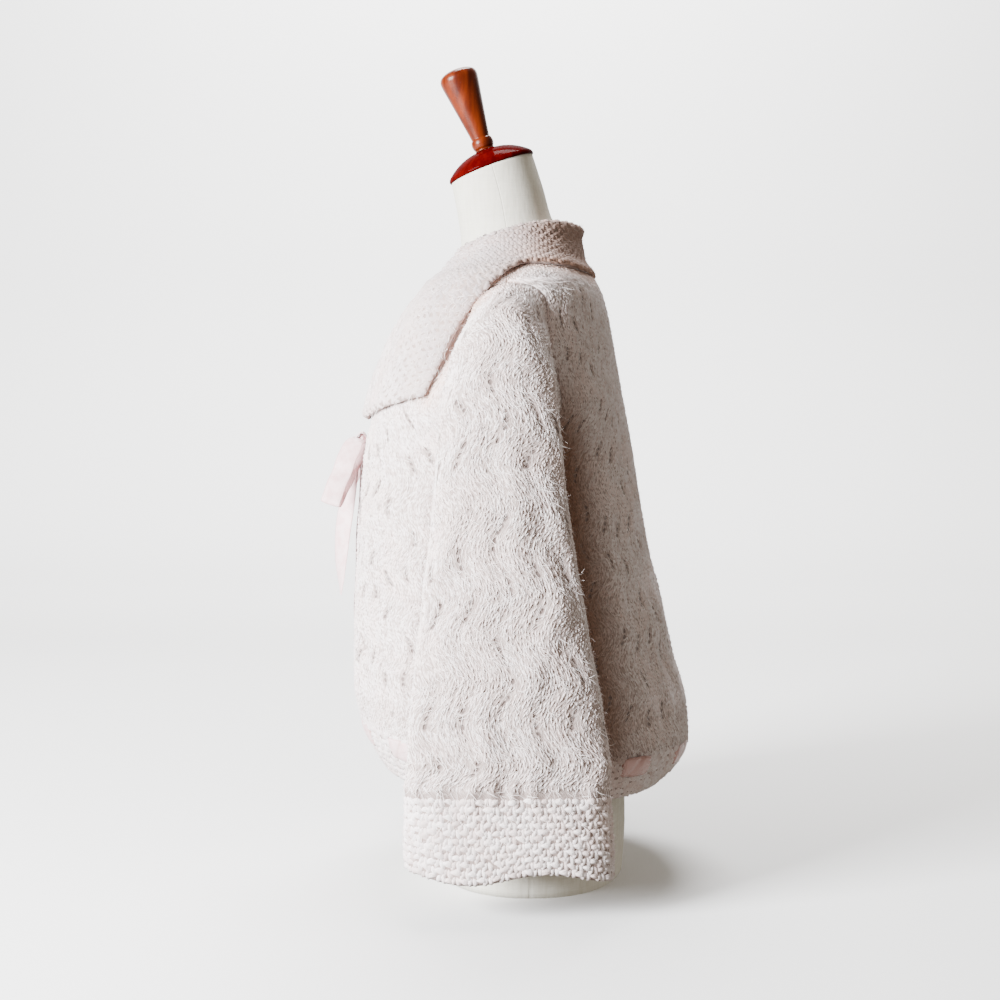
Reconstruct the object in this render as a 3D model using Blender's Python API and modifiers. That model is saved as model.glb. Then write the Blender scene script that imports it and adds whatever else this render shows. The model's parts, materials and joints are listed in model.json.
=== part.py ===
"""A hand-knitted cardigan with a wide folded collar, bell sleeves and ribbon ties, worn by a limbless dress form.

The row frame: +Z up, +X to the wearer's left, -Y to the front. The form stands on its flat base at Z = 0.
Sizes are in metres. Angles run round the body in degrees: 0 at the centre back, 90 at the wearer's left side,
180 at the centre front, and negative on the wearer's right side. A level names a ring round the body by its
height at the back, measured from 10 mm above the base.
"""

import math
from collections import namedtuple

import bmesh
import bpy
import numpy as np
from mathutils import Matrix, Vector

SEAM_GAP = 0.0003
KNIT_WALL = 0.004
COLLAR_WALL = 0.0045
RIB_RELIEF = 0.0026
RIB_SWAY = 0.28
REST_GAP = 0.0009
CHEST_EASE = 0.0061
RIBBON_WIDTH = 0.022
RIBBON_WALL = 0.001

BASE_LEVEL = -0.010
NECKLINE_LEVEL = 0.650
HEM_LEVEL = 0.088
RIBBON_LEVEL = 0.136
UNDERARM_LEVEL = 0.440
ARMHOLE_X = 0.150
CLOSURE_LEVEL = 0.458
BACK_RIBS = 20
FRONT_RIBS = 9
SLEEVE_RIBS = 12

# The dress form, ring by ring. The slope tips the neck rings forward, so that the back is higher.
FormRing = namedtuple("FormRing", "level half_width front back side slope power")
FORM_RINGS = [
    FormRing(-0.010, 0.152, -0.077, 0.125, 0.023, 0.00, 2.25),
    FormRing(0.040, 0.158, -0.081, 0.128, 0.023, 0.00, 2.25),
    FormRing(0.090, 0.160, -0.082, 0.127, 0.022, 0.00, 2.25),
    FormRing(0.150, 0.152, -0.080, 0.117, 0.020, 0.00, 2.25),
    FormRing(0.220, 0.130, -0.073, 0.098, 0.015, 0.00, 2.25),
    FormRing(0.285, 0.115, -0.068, 0.084, 0.010, 0.00, 2.2),
    FormRing(0.340, 0.119, -0.075, 0.086, 0.008, 0.00, 2.2),
    FormRing(0.400, 0.131, -0.095, 0.093, 0.006, 0.00, 2.2),
    FormRing(0.450, 0.139, -0.117, 0.099, 0.004, 0.00, 2.2),
    FormRing(0.490, 0.144, -0.125, 0.102, 0.002, 0.00, 2.2),
    FormRing(0.530, 0.145, -0.115, 0.103, 0.001, 0.00, 2.25),
    FormRing(0.565, 0.147, -0.096, 0.098, 0.000, 0.02, 2.3),
    FormRing(0.588, 0.147, -0.080, 0.091, 0.000, 0.05, 2.3),
    FormRing(0.604, 0.140, -0.070, 0.084, 0.000, 0.09, 2.2),
    FormRing(0.618, 0.121, -0.063, 0.076, 0.000, 0.14, 2.1),
    FormRing(0.632, 0.094, -0.056, 0.068, 0.001, 0.20, 2.0),
    FormRing(0.644, 0.072, -0.052, 0.060, 0.002, 0.25, 2.0),
    FormRing(0.656, 0.057, -0.050, 0.055, 0.001, 0.29, 2.0),
    FormRing(0.672, 0.050, -0.049, 0.047, -0.001, 0.32, 2.0),
    FormRing(0.700, 0.047, -0.052, 0.039, -0.006, 0.35, 2.0),
    FormRing(0.737, 0.046, -0.059, 0.027, -0.016, 0.37, 2.0),
]

# The cardigan's body where it hangs free, ring by ring. The rise is how much higher its front is than its back.
BodyRing = namedtuple("BodyRing", "level half_width front back side rise")
BODY_RINGS = [
    BodyRing(0.088, 0.166, -0.132, 0.166, 0.014, 0.014),
    BodyRing(0.112, 0.176, -0.148, 0.188, 0.016, 0.018),
    BodyRing(0.136, 0.180, -0.158, 0.1956, 0.018, 0.020),
    BodyRing(0.166, 0.180, -0.163, 0.192, 0.018, 0.020),
    BodyRing(0.218, 0.175, -0.163, 0.176, 0.016, 0.016),
    BodyRing(0.274, 0.169, -0.162, 0.164, 0.014, 0.010),
    BodyRing(0.329, 0.162, -0.160, 0.151, 0.011, 0.003),
    BodyRing(0.384, 0.156, -0.157, 0.141, 0.008, 0.000),
    BodyRing(0.440, 0.150, -0.150, 0.132, 0.005, 0.000),
    BodyRing(0.492, 0.162, -0.139, 0.122, 0.003, 0.000),
    BodyRing(0.546, 0.158, -0.117, 0.112, 0.001, 0.000),
    BodyRing(0.606, 0.155, -0.084, 0.096, 0.000, 0.000),
]
BODY_POWER = 2.2
DRAPE_FROM, DRAPE_TO = 0.520, 0.600

# The left sleeve below its armhole. The outer, inner, front and back lines of the flattened tube.
SleeveRing = namedtuple("SleeveRing", "outer_x outer_z inner_x inner_z front_y back_y fold_z power")
SLEEVE_RINGS = [
    SleeveRing(0.172, 0.596, 0.1590, 0.430, -0.052, 0.046, 0.500, 2.0),
    SleeveRing(0.189, 0.577, 0.1655, 0.411, -0.058, 0.046, 0.485, 2.1),
    SleeveRing(0.202, 0.548, 0.1700, 0.388, -0.063, 0.048, 0.462, 2.3),
    SleeveRing(0.212, 0.512, 0.1740, 0.362, -0.067, 0.050, 0.436, 2.4),
    SleeveRing(0.219, 0.474, 0.1765, 0.336, -0.070, 0.053, 0.405, 2.4),
    SleeveRing(0.225, 0.434, 0.1790, 0.310, -0.073, 0.057, 0.372, 2.4),
    SleeveRing(0.230, 0.393, 0.1815, 0.284, -0.076, 0.063, 0.338, 2.4),
    SleeveRing(0.234, 0.352, 0.1840, 0.258, -0.080, 0.069, 0.304, 2.4),
    SleeveRing(0.238, 0.311, 0.1865, 0.232, -0.084, 0.075, 0.271, 2.4),
    SleeveRing(0.241, 0.270, 0.1885, 0.206, -0.088, 0.081, 0.238, 2.4),
    SleeveRing(0.244, 0.229, 0.1900, 0.180, -0.091, 0.086, 0.205, 2.4),
    SleeveRing(0.247, 0.188, 0.1905, 0.156, -0.093, 0.091, 0.173, 2.4),
    SleeveRing(0.249, 0.148, 0.1900, 0.134, -0.096, 0.096, 0.141, 2.4),
    SleeveRing(0.250, 0.122, 0.1890, 0.113, -0.098, 0.098, 0.118, 2.4),
    SleeveRing(0.250, 0.093, 0.1880, 0.089, -0.099, 0.100, 0.091, 2.4),
    SleeveRing(0.251, 0.064, 0.1880, 0.062, -0.100, 0.102, 0.063, 2.4),
    SleeveRing(0.250, 0.036, 0.1885, 0.037, -0.099, 0.102, 0.036, 2.4),
]
CUFF_RINGS = 4
CUFF_WAVES = 3
CUFF_WAVE_HEIGHT = 0.004

# The collar's left half, station by station, from the centre back to the left front end.
CollarStation = namedtuple("CollarStation", "neck_angle neck_level edge_angle edge_level stand lift")
COLLAR_STATIONS = [
    CollarStation(0, 0.650, 0, 0.608, 0.011, 0.000),
    CollarStation(40, 0.650, 28, 0.609, 0.011, 0.000),
    CollarStation(75, 0.650, 55, 0.615, 0.010, 0.000),
    CollarStation(105, 0.650, 76, 0.619, 0.008, 0.001),
    CollarStation(135, 0.650, 91, 0.605, 0.005, 0.004),
    CollarStation(150, 0.645, 101, 0.583, 0.002, 0.010),
    CollarStation(170, 0.612, 109, 0.555, 0.002, 0.011),
    CollarStation(175, 0.550, 117, 0.522, 0.002, 0.007),
    CollarStation(177, 0.470, 124, 0.494, 0.001, 0.002),
]
COLLAR_HALF_STEPS = 17

STRETCH_ANGLES = [22, 52, 82, 108, 135, 163]
STRETCH_LENGTH = 0.040
STRETCH_LEVEL = 0.123

NECK_TILT = math.atan(0.37)
NECK_CENTRE = Vector((0, -0.016, 0.737))
NECK_AXIS = Vector((0, -math.sin(NECK_TILT), math.cos(NECK_TILT)))

# The cap's and the handle's outlines: radius and height above the piece's own base, top to bottom.
CAP_PROFILE = [
    (0.0, 0.0215), (0.0100, 0.0212), (0.0200, 0.0195), (0.0290, 0.0164), (0.0370, 0.0121), (0.0432, 0.0076),
    (0.0468, 0.0040), (0.0474, 0.0020), (0.0468, 0.0003), (0.0, 0.0003),
]
HANDLE_PROFILE = [
    (0.0, 0.0900), (0.0090, 0.0894), (0.0158, 0.0872), (0.0195, 0.0838), (0.0205, 0.0790), (0.0170, 0.0570),
    (0.0133, 0.0350), (0.0104, 0.0172), (0.0099, 0.0135), (0.0112, 0.0112), (0.0119, 0.0075), (0.0113, 0.0038),
    (0.0101, 0.0012), (0.0105, 0.0), (0.0, 0.0),
]

# The left loop of the bow as shares of its reach and as heights off its flat plane, round from the knot.
KNOT_CENTRE = (0.0, -0.1565, 0.4445)
KNOT_SIZE = (0.0100, 0.0068, 0.0115)
LOOP_START = (0.0106, -0.1572, 0.4475)
LOOP_REACH = (0.046, -0.028, -0.066)
LOOP_WIDTH_WAY = (0.007, 0.020, -0.0058)
LOOP_PATH = [
    (0.00, 0.0012), (0.05, 0.0080), (0.14, 0.0130), (0.28, 0.0140), (0.46, 0.0120), (0.66, 0.0090),
    (0.86, 0.0075), (0.97, 0.0050), (1.00, 0.0020), (0.97, -0.0010), (0.86, -0.0022), (0.60, -0.0030),
    (0.34, -0.0036), (0.12, -0.0026), (0.02, -0.0010),
]
# A tail's middle line and the turn of its width about that line: 0 faces the front, 90 faces the side.
TailPoint = namedtuple("TailPoint", "x y z turn")
FREE_TAIL = [
    TailPoint(0.004, -0.1575, 0.4330, 10),
    TailPoint(0.009, -0.1620, 0.4180, 25),
    TailPoint(0.015, -0.1675, 0.3980, 45),
    TailPoint(0.019, -0.1735, 0.3680, 55),
    TailPoint(0.021, -0.1770, 0.3380, 48),
    TailPoint(0.020, -0.1785, 0.3080, 30),
    TailPoint(0.018, -0.1785, 0.2840, 8),
]
# The tail that lies on the right front: the ring it crosses, its place across, and how far it stands off.
LyingPoint = namedtuple("LyingPoint", "level x lift")
LYING_TAIL = [
    LyingPoint(0.4312, -0.006, 0.0022),
    LyingPoint(0.410, -0.012, 0.0012),
    LyingPoint(0.375, -0.015, 0.0),
    LyingPoint(0.335, -0.017, 0.0),
    LyingPoint(0.290, -0.018, 0.0),
    LyingPoint(0.255, -0.019, 0.0),
    LyingPoint(0.227, -0.020, 0.0),
]

PALETTE = {
    "knit": ((0.86, 0.77, 0.74), 0.95, 0.0),
    "ribbon": ((0.90, 0.70, 0.72), 0.45, 0.0),
    "canvas": ((0.83, 0.81, 0.74), 0.9, 0.0),
    "wood": ((0.36, 0.09, 0.02), 0.25, 0.0),
    "wood_dark": ((0.20, 0.02, 0.02), 0.25, 0.0),
}


def clear_scene():
    """Removes the startup objects."""
    for item in list(bpy.data.objects):
        bpy.data.objects.remove(item, do_unlink=True)


def material(name):
    """The plain material of one palette entry."""
    found = bpy.data.materials.get(name)
    if found:
        return found
    colour, roughness, metallic = PALETTE[name]
    made = bpy.data.materials.new(name)
    made.use_nodes = True
    shader = made.node_tree.nodes["Principled BSDF"]
    shader.inputs["Base Color"].default_value = (*colour, 1.0)
    shader.inputs["Roughness"].default_value = roughness
    shader.inputs["Metallic"].default_value = metallic
    return made


def add_object(name, mesh, collection, finish):
    """Links a mesh as one named piece, shaded smooth but for its sharp edges."""
    piece = bpy.data.objects.new(name, mesh)
    piece.location.z = -BASE_LEVEL
    collection.objects.link(piece)
    mesh.materials.append(material(finish))
    mesh.shade_smooth()
    mesh.set_sharp_from_angle(angle=math.radians(50))
    return piece


def column(rows, field):
    """One named column of a table as an array."""
    return np.array([getattr(row, field) for row in rows], float)


def through(known, values, wanted):
    """A smooth curve through (known, values), read at wanted. It never overshoots its points."""
    steps = np.diff(known)
    rates = np.diff(values) / steps
    slopes = np.zeros(len(known))
    same_way = rates[:-1] * rates[1:] > 0
    inner = np.where(same_way, 2 * rates[:-1] * rates[1:] / np.where(same_way, rates[:-1] + rates[1:], 1), 0)
    slopes[1:-1] = inner
    slopes[0], slopes[-1] = rates[0], rates[-1]
    wanted = np.clip(wanted, known[0], known[-1])
    cell = np.clip(np.searchsorted(known, wanted, side="right") - 1, 0, len(known) - 2)
    step = steps[cell]
    t = (wanted - known[cell]) / step
    start, end = values[cell], values[cell + 1]
    return (
        start * (1 + 2 * t) * (1 - t) ** 2
        + slopes[cell] * step * t * (1 - t) ** 2
        + end * t * t * (3 - 2 * t)
        + slopes[cell + 1] * step * t * t * (t - 1)
    )


def smoothstep(low, high, value):
    """0 below low, 1 above high, and an S curve between them."""
    t = np.clip((value - low) / (high - low), 0, 1)
    return t * t * (3 - 2 * t)


def spaced(points, shares):
    """Points along a polyline at these shares of its length."""
    lengths = np.linalg.norm(np.diff(points, axis=0), axis=1)
    along = np.concatenate([[0], np.cumsum(lengths)])
    wanted = np.clip(shares, 0, 1) * along[-1]
    return np.stack([np.interp(wanted, along, points[:, axis]) for axis in range(3)], axis=-1)


def ring_point(half_width, front, back, side, power, angle):
    """(x, y) on a ring that is a superellipse, with its widest place at y = side."""
    turn = np.radians(angle)
    across = np.sign(np.sin(turn)) * np.abs(np.sin(turn)) ** (2 / power)
    reach = np.abs(np.cos(turn)) ** (2 / power)
    y = np.where(np.cos(turn) > 0, side + (back - side) * reach, side - (side - front) * reach)
    return half_width * across, y


def form_surface(level, angle):
    """A point on the dress form."""
    level, angle = np.broadcast_arrays(np.asarray(level, float), np.asarray(angle, float))
    known = column(FORM_RINGS, "level")
    size = {f: through(known, column(FORM_RINGS, f), level) for f in FormRing._fields[1:]}
    x, y = ring_point(size["half_width"], size["front"], size["back"], size["side"], size["power"], angle)
    return np.stack([x, y, level + size["slope"] * (y - size["side"])], axis=-1)


def outward(surface, level, angle):
    """The unit normal of a surface of (level, angle), pointing away from the body."""
    rise = surface(level + 0.0005, angle) - surface(level - 0.0005, angle)
    turn = surface(level, angle + 0.5) - surface(level, angle - 0.5)
    normal = np.cross(rise, turn)
    return normal / np.linalg.norm(normal, axis=-1, keepdims=True)


def hanging_surface(level, angle):
    """A point on the cardigan's body where it hangs free of the form."""
    known = column(BODY_RINGS, "level")
    size = {f: through(known, column(BODY_RINGS, f), level) for f in BodyRing._fields[1:]}
    x, y = ring_point(size["half_width"], size["front"], size["back"], size["side"], BODY_POWER, angle)
    front_share = ((1 - np.cos(np.radians(angle))) / 2) ** 2
    return np.stack([x, y, level + size["rise"] * front_share], axis=-1)


def body_surface(level, angle):
    """A point on the outside of the cardigan's body, before its ribs are raised.

    The shoulders lie on the form, one wall and a small gap off it. Lower down the cloth hangs free.
    """
    level, angle = np.broadcast_arrays(np.asarray(level, float), np.asarray(angle, float))
    ease = REST_GAP + CHEST_EASE * (1 - smoothstep(0.603, 0.626, level))
    lying = form_surface(level, angle) + outward(form_surface, level, angle) * (KNIT_WALL + ease)[..., None]
    share = smoothstep(DRAPE_FROM, DRAPE_TO, level)[..., None]
    return hanging_surface(level, angle) * (1 - share) + lying * share


def shoulder_level():
    """The level at which the shoulder line crosses the armhole's plane."""
    levels = np.linspace(0.64, 0.585, 441)
    return float(np.interp(ARMHOLE_X, body_surface(levels, 90.0)[:, 0], levels))


def collar_reach(angle):
    """The lowest level that the collar covers at this angle."""
    angle = np.abs(angle)
    turns = np.append(column(COLLAR_STATIONS, "edge_angle"), COLLAR_STATIONS[-1].neck_angle)
    levels = np.append(column(COLLAR_STATIONS, "edge_level"), COLLAR_STATIONS[-1].neck_level - 0.006)
    return np.interp(angle, turns, levels)


def front_edge_x(level):
    """How far the front edge is from the centre: close at the tie, parted a little at the hem, a V above."""
    below = np.interp(level, [HEM_LEVEL, CLOSURE_LEVEL], [0.016, 0.004])
    opening = np.interp(level, [CLOSURE_LEVEL, 0.56, 0.62, NECKLINE_LEVEL], [0.004, 0.018, 0.028, 0.034])
    return np.where(level < CLOSURE_LEVEL, below, opening)


SHOULDER_LEVEL = shoulder_level()


def panel_levels():
    """The rows of a body panel from hem to neckline: two for the band, then one at each turn of the ribs."""
    band = np.linspace(HEM_LEVEL, RIBBON_LEVEL, 3)
    ribs = np.linspace(RIBBON_LEVEL, UNDERARM_LEVEL, 11)[1:]
    armhole = np.linspace(UNDERARM_LEVEL, SHOULDER_LEVEL, 7)[1:]
    yoke = SHOULDER_LEVEL + (NECKLINE_LEVEL - SHOULDER_LEVEL) * np.array([0.20, 0.40, 0.58, 0.74, 0.88, 1.0])
    return np.concatenate([band, ribs, armhole, yoke])


def half_row(level, face):
    """The angles of one row on the wearer's left, from the middle of a face to its side edge, at 181 places.

    Between the underarm and the shoulder the row stops at the armhole's plane.
    """
    angles = np.linspace(0, 90, 721) if face == "back" else np.linspace(180, 90, 721)
    line = body_surface(level, angles)
    low = 0.0 if face == "back" else float(front_edge_x(level))
    high = line[-1, 0]
    if UNDERARM_LEVEL + 1e-6 < level < SHOULDER_LEVEL - 1e-6:
        high = ARMHOLE_X
    rising = np.maximum.accumulate(line[:, 0])
    ends = np.interp([low, high], rising, angles)
    if high == line[-1, 0]:
        ends[1] = 90.0
    return np.linspace(ends[0], ends[1], 181)


def spread(level, angles, shares):
    """The angles at these shares of a row's length."""
    line = body_surface(level, angles)
    along = np.concatenate([[0], np.cumsum(np.linalg.norm(np.diff(line, axis=0), axis=1))])
    return np.interp(np.clip(shares, 0, 1) * along[-1], along, angles)


def swayed_shares(ribs, row, sway):
    """Shares across a row for the valley and crest lines of its ribs, swung one way on every other row."""
    shares = np.linspace(0, 1, 2 * ribs + 1)
    edge_fade = np.clip(np.minimum(shares, 1 - shares) * ribs, 0, 1)
    swing = sway * (1 if row % 2 else -1) / ribs
    return shares + swing * edge_fade


def without(normals, axis):
    """Normals with one axis taken out, so that an edge's wall stays in its seam's plane."""
    kept = np.array(normals)
    kept[..., axis] = 0
    return kept / np.linalg.norm(kept, axis=-1, keepdims=True)


def strip(fine, coarse):
    """Faces between a line of points and a line of as many steps or of half as many."""
    if len(fine) == len(coarse):
        return [(fine[i], fine[i + 1], coarse[i + 1], coarse[i]) for i in range(len(fine) - 1)]
    faces = []
    for step in range(len(coarse) - 1):
        start, middle, end = fine[2 * step : 2 * step + 3]
        faces += [(start, middle, coarse[step]), (middle, coarse[step + 1], coarse[step])]
        faces.append((middle, end, coarse[step + 1]))
    return faces


def quads(index, flip, closed):
    """Quads over a grid of point numbers. A closed grid joins its last line to its first."""
    if closed:
        index = np.hstack([index, index[:, :1]])
    faces = []
    for low, high in zip(index[:-1], index[1:]):
        for a, b, c, d in zip(low[:-1], low[1:], high[1:], high[:-1]):
            faces.append((a, d, c, b) if flip else (a, b, c, d))
    return faces


def solid_mesh(name, points, faces):
    """A closed mesh with its faces turned outward."""
    mesh = bpy.data.meshes.new(name)
    mesh.from_pydata(np.asarray(points).tolist(), [], [tuple(int(i) for i in face) for face in faces])
    shape = bmesh.new()
    shape.from_mesh(mesh)
    bmesh.ops.recalc_face_normals(shape, faces=shape.faces)
    shape.to_mesh(mesh)
    shape.free()
    return mesh


def wall(name, outer, inner, collection, closed=False):
    """A knitted wall: a raised outer grid over a plain inner grid with half as many lines, and all or half its rows."""
    outer_count = outer.shape[0] * outer.shape[1]
    outer_index = np.arange(outer_count).reshape(outer.shape[:2])
    inner_index = outer_count + np.arange(inner.shape[0] * inner.shape[1]).reshape(inner.shape[:2])
    faces = quads(outer_index, False, closed) + quads(inner_index, True, closed)
    for row, backwards in ((0, True), (-1, False)):
        fine, coarse = list(outer_index[row]), list(inner_index[row])
        if closed:
            fine.append(fine[0])
            coarse.append(coarse[0])
        rim = strip(fine, coarse)
        faces += [face[::-1] for face in rim] if backwards else rim
    if not closed:
        for line, backwards in ((0, False), (-1, True)):
            rim = strip(outer_index[:, line], inner_index[:, line])
            faces += [face[::-1] for face in rim] if backwards else rim
    points = np.vstack([outer.reshape(-1, 3), inner.reshape(-1, 3)])
    return add_object(name, solid_mesh(name, points, faces), collection, "knit")


def panel_grid(face):
    """A left half panel's outer points and normals, and how far each point is raised as a rib.

    Its lines run from the middle of the face to the side edge. The back's grid is mirrored to the right as well.
    """
    levels = panel_levels()
    ribs = BACK_RIBS if face == "back" else FRONT_RIBS
    points, normals, heights = [], [], []
    for number, level in enumerate(levels):
        angles = half_row(level, face)
        in_ribs = RIBBON_LEVEL + 0.01 < level < SHOULDER_LEVEL + 0.001
        shares = swayed_shares(ribs, number, RIB_SWAY if in_ribs else 0)
        if face == "back":
            whole = np.concatenate([-angles[:0:-1], angles])
            placed = spread(level, whole, shares)
        else:
            placed = spread(level, angles, shares)
        points.append(body_surface(level, placed))
        normals.append(outward(body_surface, level, placed))
        crest = np.arange(len(placed)) % 2 == 1
        ribbed = RIBBON_LEVEL + 0.01 < level < SHOULDER_LEVEL + 0.03
        heights.append(RIB_RELIEF * (crest & ribbed & (level < collar_reach(placed) - 0.012)))
    return levels, np.array(points), np.array(normals), np.array(heights)


def seal_edge(points, normals, levels, line, hand, front):
    """Sets one side edge in its seam: at the armhole's plane, or at the side and shoulder seams."""
    armhole = (levels > UNDERARM_LEVEL + 1e-6) & (levels < SHOULDER_LEVEL - 1e-6)
    other = ~armhole
    normals[armhole, line] = without(normals[armhole, line], 0)
    normals[other, line] = without(normals[other, line], 1)
    points[armhole, line, 0] = hand * (ARMHOLE_X - SEAM_GAP / 2)
    points[other, line, 1] += (-SEAM_GAP / 2) if front else (SEAM_GAP / 2)


def back_panel(collection):
    """The back, from one side seam to the other."""
    levels, points, normals, heights = panel_grid("back")
    seal_edge(points, normals, levels, 0, -1, False)
    seal_edge(points, normals, levels, -1, 1, False)
    inner = (points - KNIT_WALL * normals)[:, ::2]
    return wall("back", points + normals * heights[..., None], inner, collection)


def front_panel(name, hand, collection):
    """One front, from its front edge to its side seam, on the wearer's left (+1) or right (-1)."""
    levels, points, normals, heights = panel_grid("front")
    seal_edge(points, normals, levels, -1, 1, True)
    normals[:, 0] = without(normals[:, 0], 0)
    inner = (points - KNIT_WALL * normals)[:, ::2]
    outer = points + normals * heights[..., None]
    mirror = np.array([hand, 1, 1])
    return wall(name, outer * mirror, inner * mirror, collection)


def armhole_rim(face):
    """The armhole's edge and its wall normals on one face of the left side, from shoulder to underarm."""
    levels = [lv for lv in panel_levels() if UNDERARM_LEVEL - 1e-6 < lv < SHOULDER_LEVEL + 1e-6][::-1]
    angles = [half_row(level, face)[-1] for level in levels]
    rim = np.array([body_surface(level, angle) for level, angle in zip(levels, angles)])
    normals = np.array([outward(body_surface, level, angle) for level, angle in zip(levels, angles)])
    return rim, without(normals, 0)


def sleeve_ring(row, lines, swing):
    """One ring of the flattened sleeve tube, its first point on the outer line, going round by the back."""
    turn = np.radians(np.arange(lines * 8) * 45 / lines)
    out = np.sign(np.cos(turn)) * np.abs(np.cos(turn)) ** (2 / row.power)
    side = np.sign(np.sin(turn)) * np.abs(np.sin(turn)) ** (2 / row.power)
    x = (row.outer_x + row.inner_x) / 2 + (row.outer_x - row.inner_x) / 2 * out
    y = (row.back_y + row.front_y) / 2 + (row.back_y - row.front_y) / 2 * side
    middle_z = (row.outer_z + row.inner_z) / 2
    z = middle_z + (row.outer_z - row.inner_z) / 2 * out + (row.fold_z - middle_z) * (1 - np.abs(out))
    ring = np.stack([x, y, z], axis=-1)
    return spaced(np.vstack([ring, ring[:1]]), (np.arange(lines) / lines + swing / lines) % 1)


def sleeve_grid(sway):
    """The left sleeve's outer points and normals: the armhole's rim, then the rings of the table."""
    lines = 2 * SLEEVE_RIBS
    shares = np.linspace(0, 1, lines // 2 + 1)
    rims = []
    for face in ("back", "front"):
        rim, rim_normals = armhole_rim(face)
        rims.append((spaced(rim, shares), without(spaced(rim_normals, shares), 0)))
    first = np.vstack([rims[0][0], rims[1][0][-2:0:-1]])
    first_normals = np.vstack([rims[0][1], rims[1][1][-2:0:-1]])
    first[:, 0] = ARMHOLE_X + SEAM_GAP / 2
    rings = [first]
    for number, row in enumerate(SLEEVE_RINGS, start=1):
        ribbed = number <= len(SLEEVE_RINGS) - CUFF_RINGS
        rings.append(sleeve_ring(row, lines, sway * 2 * (1 if number % 2 else -1) * ribbed))
    grid = np.array(rings)
    wave = CUFF_WAVE_HEIGHT * np.cos(np.radians(360 * CUFF_WAVES * np.arange(lines) / lines) + 0.6)
    grid[-1, :, 2] += wave
    grid[-2, :, 2] += wave * 0.5
    rise = np.gradient(grid, axis=0)
    along = np.roll(grid, -1, axis=1) - np.roll(grid, 1, axis=1)
    normals = np.cross(rise, along)
    normals *= np.sign(np.sum(normals * (grid - grid.mean(axis=1, keepdims=True)), axis=-1, keepdims=True))
    normals /= np.linalg.norm(normals, axis=-1, keepdims=True)
    normals[0] = first_normals
    return grid, normals


def sleeve(name, hand, collection):
    """One bell sleeve with its cuff band, a flattened tube that hangs from the armhole."""
    points, normals = sleeve_grid(0.0)
    inner = (points - KNIT_WALL * normals)[::2, ::2]
    outer, normals = sleeve_grid(RIB_SWAY)
    rings, lines = outer.shape[:2]
    number = np.arange(rings)
    ribbed = (number > 0) & (number < rings - CUFF_RINGS)
    crest = np.arange(lines) % 2 == 1
    outer = outer + normals * (RIB_RELIEF * (ribbed[:, None] & crest[None, :]))[..., None]
    mirror = np.array([hand, 1, 1])
    return wall(name, outer * mirror, inner * mirror, collection, closed=True)


def split_alike(faces, size):
    """Cuts the four-cornered faces of a strip so that its two broad sides bend along the same diagonals."""
    cut = []
    for number, (a, b, c, d) in enumerate(faces):
        upper_side = number % size < size // 2
        cut += [(a, b, c), (a, c, d)] if upper_side else [(a, b, d), (b, c, d)]
    return cut


def loft(name, sections, collection, finish, closed=False, twisted=False):
    """A solid through closed sections of equal counts, with flat fans at its two ends unless it is closed."""
    sections = np.array(sections)
    count, size = sections.shape[:2]
    index = np.arange(count * size).reshape(count, size)
    if closed:
        index = np.vstack([index, index[:1]])
    faces = quads(index, False, True)
    if twisted:
        faces = split_alike(faces, size)
    if not closed:
        faces += [tuple(index[0][::-1]), tuple(index[-1])]
    return add_object(name, solid_mesh(name, sections.reshape(-1, 3), faces), collection, finish)


def torso(collection):
    """The limbless form: one smooth body from its flat base to its neck, ring by ring."""
    levels = np.concatenate(
        [np.linspace(BASE_LEVEL, 0.285, 8), np.linspace(0.33, 0.53, 6), np.linspace(0.552, 0.66, 12), [0.676, 0.705, 0.737]]
    )
    angles = np.arange(0, 360, 10)
    return loft("form_torso", [form_surface(level, angles) for level in levels], collection, "canvas")


def turned(name, profile, base, steps, collection, finish):
    """A turned piece from (radius, height) pairs listed top to bottom, tilted forward onto the neck."""
    mesh = bpy.data.meshes.new(name)
    points = [(radius, 0, height) for radius, height in profile]
    mesh.from_pydata(points, [(i, i + 1) for i in range(len(points) - 1)], [])
    piece = add_object(name, mesh, collection, finish)
    screw = piece.modifiers.new("turning", "SCREW")
    screw.axis = "Z"
    screw.steps = steps
    screw.render_steps = steps
    screw.use_merge_vertices = True
    screw.merge_threshold = 0.00005
    screw.use_normal_calculate = True
    piece.rotation_euler.x = NECK_TILT
    piece.location = Vector(base) + Vector((0, 0, -BASE_LEVEL))
    return piece


def neck_block(collection):
    """The domed neck cap and the turned handle on it."""
    turned("neck_cap", CAP_PROFILE, NECK_CENTRE, 32, collection, "wood_dark")
    turned("neck_handle", HANDLE_PROFILE, NECK_CENTRE + NECK_AXIS * 0.0218, 24, collection, "wood")


def collar_station(share):
    """The collar's table read at an unsigned share: 0 at the centre back, 1 at the front end."""
    known = np.linspace(0, 1, len(COLLAR_STATIONS))
    size = [float(through(known, column(COLLAR_STATIONS, f), np.array(share))) for f in CollarStation._fields]
    row = CollarStation(*size)
    front_edge = half_row(row.neck_level, "front")[0]
    return row._replace(neck_angle=min(row.neck_angle, front_edge - 1.0))


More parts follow.
